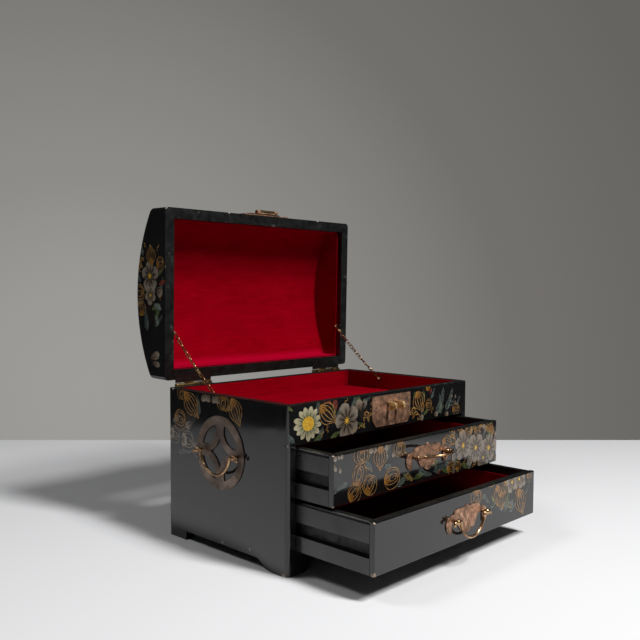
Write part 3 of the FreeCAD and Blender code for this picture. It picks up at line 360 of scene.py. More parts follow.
def velvet(name):
    """Short red pile, brushed in faint lines along the box, with a little lint and a painted highlight in a
    band low on the lid.
    """
    material, tree, shader = finish(name, roughness=0.95, Sheen_Weight=0.04, Sheen_Roughness=0.4,
                                    Sheen_Tint=(1.0, 0.02, 0.04, 1), Specular_IOR_Level=0.0)
    pile = ramp(tree, (20, 4, 0.6, (1, 1.5, 2.4)), [
        (0.2, (0.19, 0.0001, 0.004)), (0.5, (0.235, 0.0002, 0.0056)), (0.8, (0.275, 0.0003, 0.0075))])
    brushed = level(tree, (260, 3, 0.6, (0.12, 1.2, 1.6)), 0.5, 0.7, 0, 0.5)
    pile = tint(tree, brushed, pile, (0.33, 0.0005, 0.009))
    shade = level(tree, (340, 3, 0.6, (0.1, 1.2, 1.6)), 0.56, 0.74, 0, 0.35)
    pile = tint(tree, shade, pile, (0.14, 0.0, 0.002))
    height = axes(tree)["Z"]
    # Painted highlight: a band low on the lid's lining is made brighter, for light on its curved lower edge.
    painted_highlight = combine(tree, "MULTIPLY", level(tree, height, *HIGHLIGHT_BAND_HEAD, 0, 0.8), level(tree, height, *HIGHLIGHT_BAND_FOOT))
    pile = tint(tree, painted_highlight, pile, (0.42, 0.001, 0.022))
    lint = level(tree, (1900, 1), 0.77, 0.79, 0, 0.35)
    pile = tint(tree, lint, pile, (0.3, 0.09, 0.1))
    coat(tree, shader, pile, None, (0.0004, 60, 3), (0.00012, 2600, 2))
    return material


def brass(name, dark, mid, bright, gloss, patches, metallic=1.0):
    """Old brass: brown where it is left alone and yellow where it is handled, pitted and scratched."""
    material, tree, shader = finish(name, Metallic=metallic)
    stain = mottle(tree, patches, 5, 0.65)
    metal = ramp(tree, stain, [(0.34, dark), (0.5, mid), (0.66, bright)])
    pits = level(tree, (1500, 3, 0.7), 0.66, 0.73, 0, 0.75)
    metal = tint(tree, pits, metal, tuple(0.25 * value for value in dark))
    rough = combine(tree, "ADD", level(tree, stain, 0.3, 0.75, *gloss), combine(tree, "MULTIPLY", pits, 0.2))
    coat(tree, shader, metal, rough, (0.00012, 160, 2), (0.00003, 1300, 3))
    return material


def hinge_finish(name):
    """The leaves were lacquered over with the box, and only the knuckles at the pin are bright brass."""
    material, tree, shader = finish(name)
    from_pin = distance(tree, place_of(tree, stretch=(0, 1, 1)), LID_PIN * MM)
    wander = level(tree, (500, 3), 0.3, 0.7, -0.0006, 0.0006)
    bare = level(tree, combine(tree, "ADD", from_pin, wander), *KNUCKLE)
    metal = ramp(tree, (160, 4), [(0.3, (0.16, 0.09, 0.035)), (0.7, (0.6, 0.42, 0.18))])
    black = ramp(tree, (90, 4), [(0.35, (0.004, 0.004, 0.004)), (0.7, (0.011, 0.01, 0.009))])
    tree.links.new(bare, shader.inputs["Metallic"])
    gloss = level(tree, (240, 3), 0.3, 0.7, 0.2, 0.42)
    coat(tree, shader, tint(tree, bare, black, metal), gloss, (0.00005, 600, 3))
    return material


def paint(name, dark, light, patches=260):
    """Oil paint laid on with a brush, thick and thin."""
    material, tree, shader = finish(name, roughness=0.16, IOR=1.6)
    coat(tree, shader, ramp(tree, (patches, 3), [(0.32, dark), (0.68, light)]), None, BRUSH_MARKS)
    return material


def petal_paint(name, heart, body, tip, streak, lines=2.6):
    """A petal's paint, from its heart to its tip, with streaks that run out from the heart."""
    material, tree, shader = finish(name, roughness=0.16, IOR=1.6)
    across, along = axes(tree, "UV")[:2]
    base = ramp(tree, along, [(0.05, heart), (0.35, body), (0.85, tip)])
    across = combine(tree, "SUBTRACT", across, 0.5)
    fan = combine(tree, "DIVIDE", across, combine(tree, "ADD", along, 0.25))
    wave = combine(tree, "SINE", combine(tree, "MULTIPLY", fan, lines * 4))
    ragged = combine(tree, "ADD", wave, combine(tree, "MULTIPLY", mottle(tree, 500, 2), 1.2))
    mark = level(tree, ragged, 0.55, 0.95)
    fade = level(tree, along, 0.45, 0.8, 1, 0)
    base = tint(tree, combine(tree, "MULTIPLY", mark, fade), base, streak)
    cloud = level(tree, (240, 3), 0.4, 0.75, 0, 0.35)
    base = tint(tree, cloud, base, tuple(0.45 * value for value in body))
    coat(tree, shader, base, None, BRUSH_MARKS)
    return material


# Bench work: pieces are started from a primitive or from a copy of their frame node.


def pick(*objects):
    bpy.ops.object.select_all(action="DESELECT")
    for thing in objects:
        thing.select_set(True)
    bpy.context.view_layer.objects.active = objects[0]


def open_mesh(thing, kind="FACE", every=False):
    """Edit mode, with all or nothing selected."""
    pick(thing)
    bpy.ops.object.mode_set(mode="EDIT")
    bpy.ops.mesh.select_mode(type=kind)
    bpy.ops.mesh.select_all(action="SELECT" if every else "DESELECT")
    return bmesh.from_edit_mesh(thing.data)


def choose(mesh, test, kind="verts", on=True):
    for item in getattr(mesh, kind):
        if test(item):
            item.select_set(on)
    if on:
        mesh.select_flush(True)


def close_mesh():
    bpy.ops.object.mode_set(mode="OBJECT")


def smooth(thing, angle=30):
    """Out of edit mode, with shading smooth across edges flatter than the angle."""
    close_mesh()
    pick(thing)
    bpy.ops.object.shade_smooth_by_angle(angle=math.radians(angle))


def keep_flats(thing):
    """Lets the broad faces set the shading, so that a flat board mirrors as a flat one."""
    pick(thing)
    bpy.ops.object.modifier_add(type="WEIGHTED_NORMAL")
    thing.modifiers[-1].keep_sharp = True
    bpy.ops.object.modifier_apply(modifier=thing.modifiers[-1].name)


def copy_of(thing, name):
    twin = thing.copy()
    twin.data = thing.data.copy()
    twin.name = name
    scene.collection.objects.link(twin)
    return twin


def join(things, name):
    pick(*things)
    if len(things) > 1:
        bpy.ops.object.join()
    things[0].name = name
    return things[0]


def from_node(node, name, finishes):
    """A copy of a frame node, with its triangles joined and its flat faces made whole."""
    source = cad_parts[node]
    mesh = source.data.copy()
    thing = bpy.data.objects.new(name, mesh)
    scene.collection.objects.link(thing)
    mesh.transform(source.matrix_world)
    mesh.materials.clear()
    for material in finishes:
        mesh.materials.append(material)
    for face in mesh.polygons:
        face.material_index = 0
    open_mesh(thing, "VERT", True)
    bpy.ops.mesh.customdata_custom_splitnormals_clear()
    bpy.ops.mesh.remove_doubles(threshold=0.000005)
    bpy.ops.mesh.dissolve_limited(angle_limit=math.radians(0.6))
    bpy.ops.mesh.select_all(action="DESELECT")
    close_mesh()
    return thing


def ease_edges(thing, width, angle=28, joint=None):
    """Rounds the sharp edges, except those that lie wholly where boards meet, and gives the rounded strips the
    second finish."""
    mesh = open_mesh(thing, "EDGE")
    bpy.ops.mesh.edges_select_sharp(sharpness=math.radians(angle))
    if joint:
        choose(mesh, lambda e: all(joint(v.co) for v in e.verts), "edges", False)
    bpy.ops.mesh.bevel(offset=width * MM, segments=2, profile=0.5, affect="EDGES", clamp_overlap=True)
    mesh = bmesh.from_edit_mesh(thing.data)
    for face in mesh.faces:
        face.material_index = 1 if face.select else 0
    bmesh.update_edit_mesh(thing.data)
    smooth(thing)
    keep_flats(thing)


def finish_faces(thing, index, test):
    """Gives another finish to the faces that the test picks by their normal and middle."""
    for face in thing.data.polygons:
        if face.material_index == 0 and test(face.normal, face.center / MM):
            face.material_index = index


def fit_to(thing, body, slot, *nodes):
    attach(thing, body)
    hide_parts(*nodes)


def lid_place(point):
    """Where a point in metres lies on the shut lid, in millimetres: back, up, and out from the drum's axis."""
    offset = Vector(point) / MM - LID_PIN
    back, up = offset.dot(LID_BACK), offset.dot(LID_UP)
    return back, up, math.hypot(back - DRUM_BACK, up - DRUM_UP)


def close_to(value, target):
    return abs(abs(value) - target) < TOUCHING


def looks_down(normal, middle):
    return normal.z < -FACING


def looks_up_over(height):
    return lambda normal, middle: normal.z > FACING and middle.z > height


def wood(node, body, finishes, width=0.5, joint=None, rim=None, plain=None):
    """A board: its edges eased except at joints, its rim rubbed dull and its hidden faces left plain."""
    thing = from_node(node, f"{node}_wood", finishes)
    ease_edges(thing, width, joint=joint)
    if rim:
        finish_faces(thing, 2, rim)
    if plain:
        finish_faces(thing, 3, plain)
    fit_to(thing, body, "black_lacquer", node)


def case_wood(finishes, plain):
    rim = looks_up_over(RIM)
    seam = lambda v: close_to(v.y / MM, FRONT_SEAM)
    butt = lambda v: close_to(v.x / MM, PANEL_BUTT)
    for side in ("left", "right"):
        wood(f"{side}_side_panel", "case", finishes, 0.5, seam, rim,
             lambda n, m: abs(m.x) < WALL_INSIDE or looks_down(n, m))
    wood("fascia", "case", finishes, 0.45, seam, rim, looks_down)
    wood("back_panel", "case", finishes, 0.35, butt, rim, looks_down)
    wood("front_apron", "case", finishes, 0.4, butt, None, looks_down)
    for node in ("bottom_board", "tray_floor", "drawer_runners"):
        wood(node, "case", [plain, plain], 0.3)


def lid_wood(finishes):
    lip = lambda normal, middle: normal.dot(LID_UP) < -FACING

    def seam(point):
        up, out = lid_place(point)[1:]
        return close_to(up, LID_SEAM) or close_to(out, DRUM_RADIUS - LID_TOP_THICK)

    def butt(point):
        return seam(point) or close_to(point.x / MM, LID_BUTT)

    for side in ("left", "right"):
        wood(f"lid_{side}_end", "lid", finishes, 0.6, seam, lip)
    for side in ("front", "rear"):
        wood(f"lid_{side}_wall", "lid", finishes, 0.6, butt, lip)
    wood("lid_top", "lid", finishes, 0.6, seam)


def drawer_wood(finishes, plain, satin):
    for name, (face, floor) in DRAWERS.items():
        body = f"{name}_drawer"
        rim = looks_up_over(floor + DRAWER_RIM)
        seam = lambda v: abs(v.y / MM - face - DRAWER_SEAM) < TOUCHING
        groove = lambda n, m: abs(n.x) > FACING and n.x * m.x > 0 and abs(m.x) < DRAWER_GROOVE
        wood(f"{name}_drawer_front", body, finishes, 0.55, None, rim, looks_down)
        for side in ("left", "right"):
            wood(f"{name}_drawer_{side}_side", body, [satin, *finishes[1:]], 0.4, seam,
                 lambda n, m: rim(n, m) or groove(n, m), looks_down)
        wood(f"{name}_drawer_back", body, finishes, 0.3, lambda v: close_to(v.x / MM, DRAWER_BUTT), rim,
             lambda n, m: n.y > FACING or looks_down(n, m))
        wood(f"{name}_drawer_bottom", body, [plain, plain], 0.2)


def linings(cloth):
    for node, body in (("tray_lining", "case"), ("lid_lining", "lid"),
                       ("lower_drawer_lining", "lower_drawer"), ("upper_drawer_lining", "upper_drawer")):
        thing = from_node(node, f"{node}_velvet", [cloth, cloth])
        ease_edges(thing, 0.5)
        fit_to(thing, body, "red_cloth", node)


def metal(brasses, leaves):
    """Plates get soft edges; turned and bent pieces keep their nodes."""
    plate, coin, bright = (brasses[f"{name}_brass"] for name in ("aged", "coin", "handled"))
    for node, body, finish_of in (("lock_plate", "case", plate), ("hasp_plate", "lid", plate),
                                  ("hasp_tongue", "tongue", bright),
                                  ("left_handle_plate", "case", coin), ("right_handle_plate", "case", coin),
                                  ("lower_pull_plate", "lower_drawer", plate),
                                  ("upper_pull_plate", "upper_drawer", plate)):
        thing = from_node(node, f"{node}_brass", [finish_of, finish_of])
        ease_edges(thing, 0.22, 40)
        fit_to(thing, body, "aged_plate", node)
    for name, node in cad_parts.items():
        if node.hide_render or "chain" in name and "eyes" not in name:
            continue
        node.data.materials.clear()
        node.data.materials.append(leaves if "hinge" in name else bright)


# The rounded nose on each staple, and where its back is cut off.
NOSE_ACROSS, NOSE_OUT, NOSE_HEIGHT, NOSE_BACK = (-2.9, 10.9), -105.4, 151.6, -101.2
NOSE_SIZE = (2.1, 4.7, 3.5)


def padlock_staples(finish_of):
    """Two staples on the lock plate, each swelling to a rounded nose where it is rubbed bright."""
    straps = from_node("lock_staples", "lock_staples_rounded", [finish_of, finish_of])
    ease_edges(straps, 0.5)
    noses = [straps]
    for middle in NOSE_ACROSS:
        bpy.ops.object.select_all(action="DESELECT")
        bpy.ops.mesh.primitive_uv_sphere_add(segments=20, ring_count=12, radius=MM,
                                             location=mm(middle, NOSE_OUT, NOSE_HEIGHT))
        nose = bpy.context.object
        nose.scale = NOSE_SIZE
        bpy.ops.object.transform_apply(location=True, scale=True)
        open_mesh(nose, "VERT", True)
        bpy.ops.mesh.bisect(plane_co=mm(0, NOSE_BACK, 0), plane_no=(0, 1, 0), clear_outer=True, use_fill=True)
        smooth(nose, 50)
        nose.data.materials.append(finish_of)
        noses.append(nose)
    fit_to(join(noses, straps.name), "case", "brass_fittings", "lock_staples")


NAIL_RADIUS, NAIL_RISE, NAIL_SUNK = 1.1, 0.6, 0.3  # Sunk from the middle of the plain nail.


def domed_nails(finish_of):
    """A low round head over each nail, turned the way that its plate faces."""
    bpy.ops.mesh.primitive_uv_sphere_add(segments=12, ring_count=8, radius=NAIL_RADIUS * MM)
    dome = bpy.context.object
    open_mesh(dome, every=True)
    bpy.ops.mesh.bisect(plane_co=(0, 0, 0), plane_no=(0, 0, 1), clear_inner=True, use_fill=True)
    smooth(dome, 40)
    dome.data.transform(Matrix.Diagonal((1, 1, NAIL_RISE / NAIL_RADIUS, 1)))
    dome.data.materials.append(finish_of)
    for node, body in (("case_plate_nails", "case"), ("hasp_nails", "lid"),
                       ("lower_pull_nails", "lower_drawer"), ("upper_pull_nails", "upper_drawer")):
        blanks = from_node(node, "blanks", [])
        open_mesh(blanks, every=True)
        bpy.ops.mesh.separate(type="LOOSE")
        close_mesh()
        heads = []
        for blank in list(bpy.context.selected_objects):
            corners = [Vector(v.co) for v in blank.data.vertices]
            low = Vector(min(c[n] for c in corners) for n in range(3))
            high = Vector(max(c[n] for c in corners) for n in range(3))
            size, middle = high - low, (low + high) / 2
            if size.x < MM:
                out = Vector((1 if middle.x > 0 else -1, 0, 0))
            else:
                out = LID_BACK * -1 if body == "lid" else Vector((0, -1, 0))
            head = copy_of(dome, f"{node}_head")
            turn = out.to_track_quat("Z", "Y").to_matrix().to_4x4()
            head.data.transform(Matrix.Translation(middle - out * NAIL_SUNK * MM) @ turn)
            heads.append(head)
            bpy.data.objects.remove(blank)
        fit_to(join(heads, f"{node}_domed"), body, "aged_plate", node)
    bpy.data.objects.remove(dome)


# A chain, in millimetres, from its eye in the case to that in the lid. A link is a ring drawn out to an oval.
LINKS, LINK_RADIUS, WIRE_RADIUS, LINK_DRAWN = 19, 1.7, 0.5, 1.6
CHAIN_START, CHAIN_END = (134.4, 30, 159), (134, 107.71, 225.28)
END_ROOM, CHAIN_SAG = 3.7, 1.6


def stay_chains(finish_of):
    """Oval wire links from the eye on each side of the case to the eye in the lid."""
    bpy.ops.mesh.primitive_torus_add(major_radius=LINK_RADIUS * MM, minor_radius=WIRE_RADIUS * MM,
                                     major_segments=16, minor_segments=6)
    link = bpy.context.object
    for sign in (-1, 1):
        mesh = open_mesh(link, "VERT")
        choose(mesh, lambda v: v.co.x * sign > 0.1 * MM)
        bpy.ops.transform.translate(value=(LINK_DRAWN * MM * sign, 0, 0))
        close_mesh()
    smooth(link, 60)
    link.data.materials.append(finish_of)
    chance = random.Random(7)
    for side, sign in (("left", -1), ("right", 1)):
        start, end = (mm(sign * x, y, z) for x, y, z in (CHAIN_START, CHAIN_END))
        along = (end - start).normalized()
        sag = Vector((0, along.z, -along.y)) * CHAIN_SAG * MM
        run = (end - start).length - 2 * END_ROOM * MM
        links = []
        for number in range(LINKS):
            share = number / (LINKS - 1)
            middle = start + along * (END_ROOM * MM + run * share) + sag * 4 * share * (1 - share)
            lean = (along + sag.normalized() * 0.06 * (1 - 2 * share)).normalized()
            turn = lean.to_track_quat("X", "Z").to_matrix().to_4x4()
            loose = 0 if number in (0, LINKS - 1) else chance.uniform(-24, 24)
            roll = Matrix.Rotation(math.radians(90 * (number % 2) + loose), 4, "X")
            twin = copy_of(link, f"{side}_link")
            twin.data.transform(Matrix.Translation(middle) @ turn @ roll)
            links.append(twin)
        chain = join(links, f"{side}_stay_chain_links")
        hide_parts(f"{side}_stay_chain")
        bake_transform(chain)
    bpy.data.objects.remove(link)


# Painted flowers. Each shape is modelled once, with its heart at the origin and its tip at y = 1, and laid on
# the panels at a size in millimetres. What is laid later lies a little higher, from PAINT_LIFT off the board.

LAYER, PAINT_LIFT = 0.008, 0.02


def petal(name, widths, finish_of, drop=0.0):
    """A petal or a leaf, as wide at each height as the widths say, with its outer corners rounded off."""
    rows = len(widths) - 1
    bpy.ops.object.select_all(action="DESELECT")
    bpy.ops.mesh.primitive_grid_add(x_subdivisions=4, y_subdivisions=rows, size=1, location=(0, 0.5, 0))
    thing = bpy.context.object
    thing.name = name
    bpy.ops.object.transform_apply(location=True)
    for row, width in enumerate(widths):
        mesh = open_mesh(thing, "VERT")
        choose(mesh, lambda v: abs(v.co.y - row / rows) < 0.01)
        bpy.ops.transform.resize(value=(width, 1, 1), center_override=(0, row / rows, 0))
        close_mesh()
    if drop:
        mesh = open_mesh(thing, "VERT")
        choose(mesh, lambda v: v.co.y > 0.99 and abs(v.co.x) > 0.3 * widths[-1])
        bpy.ops.transform.translate(value=(0, -drop, 0))
        close_mesh()
    thing.data.materials.append(finish_of)
    return thing


def spot(name, finish_of, sides):
    """A round dab of paint, 1 from its heart to its rim."""
    bpy.ops.object.select_all(action="DESELECT")
    bpy.ops.mesh.primitive_circle_add(vertices=sides, radius=1, fill_type="NGON")
    thing = bpy.context.object
    thing.name = name
    open_mesh(thing, every=True)
    bpy.ops.mesh.inset(thickness=0.4)
    close_mesh()
    thing.data.materials.append(finish_of)
    return thing


def stroke(name, points, thick, finish_of):
    """A brush line through the points, thin at both ends, flattened to a skin of paint."""
    line = bpy.data.curves.new(name, "CURVE")
    line.dimensions = "3D"
    line.bevel_depth = thick
    line.bevel_resolution = 0
    line.resolution_u = 4
    line.use_fill_caps = True
    spline = line.splines.new("NURBS")
    spline.points.add(len(points) - 1)
    for number, (point, (x, y)) in enumerate(zip(spline.points, points)):
        point.co = (x, y, 0, 1)
        point.radius = 0.4 + 0.6 * math.sin(math.pi * number / (len(points) - 1))
    spline.order_u = 3
    spline.use_endpoint_u = True
    line.materials.append(finish_of)
    holder = bpy.data.objects.new(name, line)
    scene.collection.objects.link(holder)
    pick(holder)
    bpy.ops.object.convert(target="MESH")
    thing = bpy.context.object
    thing.data.transform(Matrix.Diagonal((1, 1, 0.5 * LAYER / thick, 1)))
    return thing


class Panel:
    """A face being painted: what is laid on it so far, in millimetres along its own two directions."""

    def __init__(self, name):
        self.name = name
        self.pieces = []

    def lay(self, shape, x, y, size, turn=90.0, wide=1.0):
        """The turn is the direction of the tip, in degrees from the panel's first direction."""
        twin = copy_of(shape, f"{self.name}_{len(self.pieces)}")
        self.pieces.append(twin)
        place = Matrix.Translation((x, y, LAYER * len(self.pieces)))
        place = place @ Matrix.Rotation(math.radians(turn - 90), 4, "Z")
        twin.data.transform(place @ Matrix.Diagonal((size * wide, size, 1, 1)))

    def draw(self, points, thick, finish_of, y=0):
        """A brush line for this one place."""
        line = stroke("brush_line", points, thick, finish_of)
        self.lay(line, 0, y, 1)
        bpy.data.objects.remove(line)

    def shape(self):
        """The whole as one shape for laying, pressed as thin as one skin of paint."""
        whole = join(self.pieces, self.name)
        whole.data.transform(Matrix.Diagonal((1, 1, 1 / len(self.pieces), 1)))
        return whole

    def hang(self, body, borders, heart, across, up, bend):
        """Trims the painting at its borders, two across and two up, then sets or bends it onto its board."""
        whole = join(self.pieces, self.name)
        low_x, high_x, low_y, high_y = borders
        for place, out in (((low_x, 0, 0), (-1, 0, 0)), ((high_x, 0, 0), (1, 0, 0)),
                           ((0, low_y, 0), (0, -1, 0)), ((0, high_y, 0), (0, 1, 0))):
            open_mesh(whole, "VERT", True)
            bpy.ops.mesh.bisect(plane_co=place, plane_no=out, clear_outer=True)
            close_mesh()
        if not bend:
            across, up = Vector(across), Vector(up)
            turn = Matrix((across, up, across.cross(up))).transposed().to_4x4()
            lift = Matrix.Translation((0, 0, PAINT_LIFT))
            whole.data.transform(Matrix.Scale(MM, 4) @ Matrix.Translation(heart) @ turn @ lift)
            if body == "lid":
                bend = inside_drum
        if bend:
            for vertex in whole.data.vertices:
                vertex.co = bend(vertex.co)
        smooth(whole)
        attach(whole, body)


# A petal's paint at its heart, its body and its tip, its streaks' and how many there are. Other paints where
# they are thin and where they are thick, and their patches a metre.
PETAL_PAINTS = {
    "cream_petal": ((0.02, 0.035, 0.018), (0.2, 0.2, 0.1), (0.44, 0.39, 0.25), (0.01, 0.026, 0.012), 2.2),
    "mauve_petal": ((0.02, 0.013, 0.008), (0.12, 0.09, 0.065), (0.235, 0.195, 0.15), (0.03, 0.02, 0.013)),
    "blush_petal": ((0.05, 0.03, 0.016), (0.16, 0.12, 0.085), (0.26, 0.215, 0.165), (0.05, 0.03, 0.018)),
    "amber_petal": ((0.5, 0.24, 0.03), (0.34, 0.14, 0.018), (0.1, 0.045, 0.012), (0.05, 0.02, 0.006)),
    "brown_veil": ((0.04, 0.022, 0.01), (0.016, 0.011, 0.007), (0.01, 0.008, 0.006), (0.006, 0.005, 0.004)),
}
PAINTS = {
    "gilt_line": ((0.16, 0.07, 0.018), (0.52, 0.29, 0.09)),
    "chalk_line": ((0.16, 0.12, 0.09), (0.36, 0.29, 0.23)),
    "sage_leaf": ((0.06, 0.08, 0.07), (0.19, 0.23, 0.2)),
    "moss_leaf": ((0.02, 0.035, 0.012), (0.1, 0.12, 0.04)),
    "rust_leaf": ((0.07, 0.014, 0.01), (0.17, 0.04, 0.026)),
    "stamen_gold": ((0.5, 0.22, 0.012), (0.72, 0.5, 0.04), 420),
    "ink_line": ((0.01, 0.008, 0.007), (0.03, 0.022, 0.018)),
}

# Widths from heart to tip, and the petals and leaves by their widths, paint and dropped corners.
LONG_PETAL = (0.1, 0.18, 0.3, 0.42, 0.5, 0.48, 0.32)
ROUND_PETAL = (0.12, 0.36, 0.6, 0.76, 0.82, 0.74, 0.46)
VEIL = (0.2, 0.52, 0.66, 0.66, 0.5, 0.3, 0.04)
SEED = (0.12, 0.42, 0.5, 0.42, 0.24, 0.02)
BLADE = (0.03, 0.2, 0.3, 0.3, 0.2, 0.02)
PETALS = {
    "cream": (LONG_PETAL, "cream_petal", 0.08), "mauve": (ROUND_PETAL, "mauve_petal", 0.09),
    "blush": (ROUND_PETAL, "blush_petal", 0.09), "amber": (SEED, "amber_petal"), "veil": (VEIL, "brown_veil"),
    "sage": (BLADE, "sage_leaf"), "moss": (BLADE, "moss_leaf"), "rust": (BLADE, "rust_leaf"),
}

# Brush lines by their points, thickness and paint.
SLIGHT_BOW = [(0, 0), (0.05, 0.33), (0.05, 0.66), (0, 1)]
STROKES = {
    "squiggle": ([(0, 0), (0.3, 0.15), (-0.25, 0.4), (0.28, 0.65), (-0.1, 0.85), (0.1, 1)], 0.046, "gilt_line"),
    "curl": ([(0, 0), (0.28, 0.25), (0.3, 0.75), (0, 1), (-0.24, 0.8), (-0.1, 0.6), (0.02, 0.72)], 0.045,
             "gilt_line"),
    "line": (SLIGHT_BOW, 0.022, "gilt_line"),
    "ink": (SLIGHT_BOW, 0.03, "ink_line"),
    "stem": ([(0, 0), (0.07, 0.33), (0.07, 0.66), (0, 1)], 0.016, "sage_leaf"),
}
HEART_CURL = [(-0.2, 0.42), (0, 0.2), (0.24, 0.45), (0.08, 0.72), (-0.12, 0.6), (0, 0.45)]


def out_at(far, turn):
    """A distance out at an angle in degrees."""
    return far * math.cos(math.radians(turn)), far * math.sin(math.radians(turn))


def daisy(shapes, chance):
    flower = Panel("daisy")
    for number in range(9):
        flower.lay(shapes["moss"], 0, 0, chance.uniform(0.62, 0.86), number * 40 + chance.uniform(-8, 8), 1.3)
    for number in range(13):
        size, turn = chance.uniform(0.9, 1.02), number * 360 / 13 + chance.uniform(-4, 4)
        flower.lay(shapes["cream"], 0, 0, size, turn, 0.68)
    flower.lay(shapes["gilt_eye"], 0, 0, 0.41)
    for number in range(26):
        turn = number * 137.5
        place = out_at(0.39 * math.sqrt((number + 4) / 30), turn)
        flower.lay(shapes["amber" if number % 2 else "dot"], *place, 0.075 if number % 2 else 0.04, turn)
    return flower.shape()


def blossom(name, shapes, leaf, chance):
    """Five open petals with ink lines, round a ring of stamens."""
    flower = Panel(name)
    for turn in (90, 18, 306, 234, 162):
        flower.lay(shapes[leaf], 0, 0, chance.uniform(0.94, 1.04), turn + chance.uniform(-7, 7))
        for size, lean in ((0.5, 0), (0.36, 15), (0.36, -15)):
            flower.lay(shapes["ink"], 0, 0, size, turn + lean, 0.5)
    flower.lay(shapes["gilt_eye"], 0, 0, 0.14)
    for number in range(9):
        flower.lay(shapes["dot"], *out_at(0.2, number * 40), 0.028)
    return flower.shape()


def bud(shapes, line):
    """A dark bud with amber at its foot and gilt ribs."""
    flower = Panel("bud")
    flower.lay(shapes["veil"], 0, 0, 1)
    for turn, size in ((58, 0.34), (122, 0.34), (78, 0.4), (102, 0.44)):
        flower.lay(shapes["amber"], 0, 0, size, turn)
    for side in (-1, -0.62, -0.25, 0.2, 0.6, 1):
        flower.draw([(0, 0.02), (side * 0.36, 0.2), (side * 0.42, 0.6), (side * 0.12, 0.86),
                     (side * 0.02, 1.03)], 0.0145, line)
    return flower.shape()


def rose(name, shapes, heart, line):
    """A rose in outline: nested arcs and a curl over a dark ground."""
    flower = Panel(name)
    flower.lay(shapes["veil"], 0, 0.02, 0.96, 90, 1.5)
    for turn, size in ((36, 0.4), (144, 0.42), (62, 0.44), (116, 0.4), (90, 0.36)):
        flower.lay(shapes[heart], 0, 0.04, size, turn, 0.9)
    for side, reaches in ((-1, (0.9, 0.68, 0.3)), (1, (1.0, 0.55))):
        for reach in reaches:
            flower.draw([(side * 0.06, 0.02), (side * 0.62 * reach, 0.12), (side * 0.66 * reach, 0.7),
                         (side * 0.2 * reach, 0.75 + 0.28 * reach), (-side * 0.12, 0.62 + 0.3 * reach)],
                        0.019, line)
    flower.draw(HEART_CURL, 0.02, line, 0.06)
    return flower.shape()


def fern(shapes):
    frond = Panel("fern")
    frond.lay(shapes["stem"], 0, 0, 1)
    for number in range(9):
        share = (number + 1) / 10
        across, size = 0.05 * math.sin(3 * share), 0.34 - 0.2 * share
        for side in (-1, 1):
            frond.lay(shapes["sage"], across, share, size, 90 + side * 50, 0.46)
    frond.lay(shapes["sage"], 0, 0.96, 0.14)
    return frond.shape()


def spray(shapes):
    """Three stems, each with a leaf and three small petals."""
    bunch = Panel("spray")
    for turn, size in ((66, 0.8), (90, 1.0), (116, 0.72)):
        bunch.lay(shapes["stem"], 0, 0, size, turn)
        x, y = out_at(size, turn)
        for side in (-34, 0, 34):
            bunch.lay(shapes["blush"], x * 0.86, y * 0.86, 0.2, turn + side, 0.5)
        bunch.lay(shapes["sage"], x * 0.45, y * 0.45, 0.26, turn - 40, 0.7)
    return bunch.shape()


def loops(shapes):
    knot = Panel("loops")
    for turn, size in ((35, 1.0), (70, 0.8), (112, 0.95), (150, 0.7)):
        knot.lay(shapes["curl"], 0, 0, size, turn, 1 if turn > 90 else -1)
    knot.lay(shapes["line"], 0, 0, 0.6, 92)
    return knot.shape()


def flower_shapes():
    """Every flower, bud, leaf and line of the painting, by name."""
    paints = {name: petal_paint(name, *look) for name, look in PETAL_PAINTS.items()}
    paints.update({name: paint(name, *look) for name, look in PAINTS.items()})
    chance = random.Random(11)
    shapes = {name: petal(name, widths, paints[look], *drop) for name, (widths, look, *drop) in PETALS.items()}
    shapes["dot"] = spot("dot", paints["stamen_gold"], 8)
    shapes["gilt_eye"] = spot("gilt_eye", paints["stamen_gold"], 14)
    for name, (points, thick, look) in STROKES.items():
        shapes[name] = stroke(name, points, thick, paints[look])
    shapes["daisy"] = daisy(shapes, chance)
    shapes["blossom"] = blossom("blossom", shapes, "mauve", chance)
    shapes["pale_blossom"] = blossom("pale_blossom", shapes, "blush", chance)
    shapes["bud"] = bud(shapes, paints["gilt_line"])
    shapes["rose"] = rose("rose", shapes, "amber", paints["gilt_line"])
    shapes["chalk_rose"] = rose("chalk_rose", shapes, "blush", paints["chalk_line"])
    for make in (fern, spray, loops):
        shapes[make.__name__] = make(shapes)
    return shapes


# What is painted where: the shape, its heart, its size, the direction of its tip and how much wider it is.

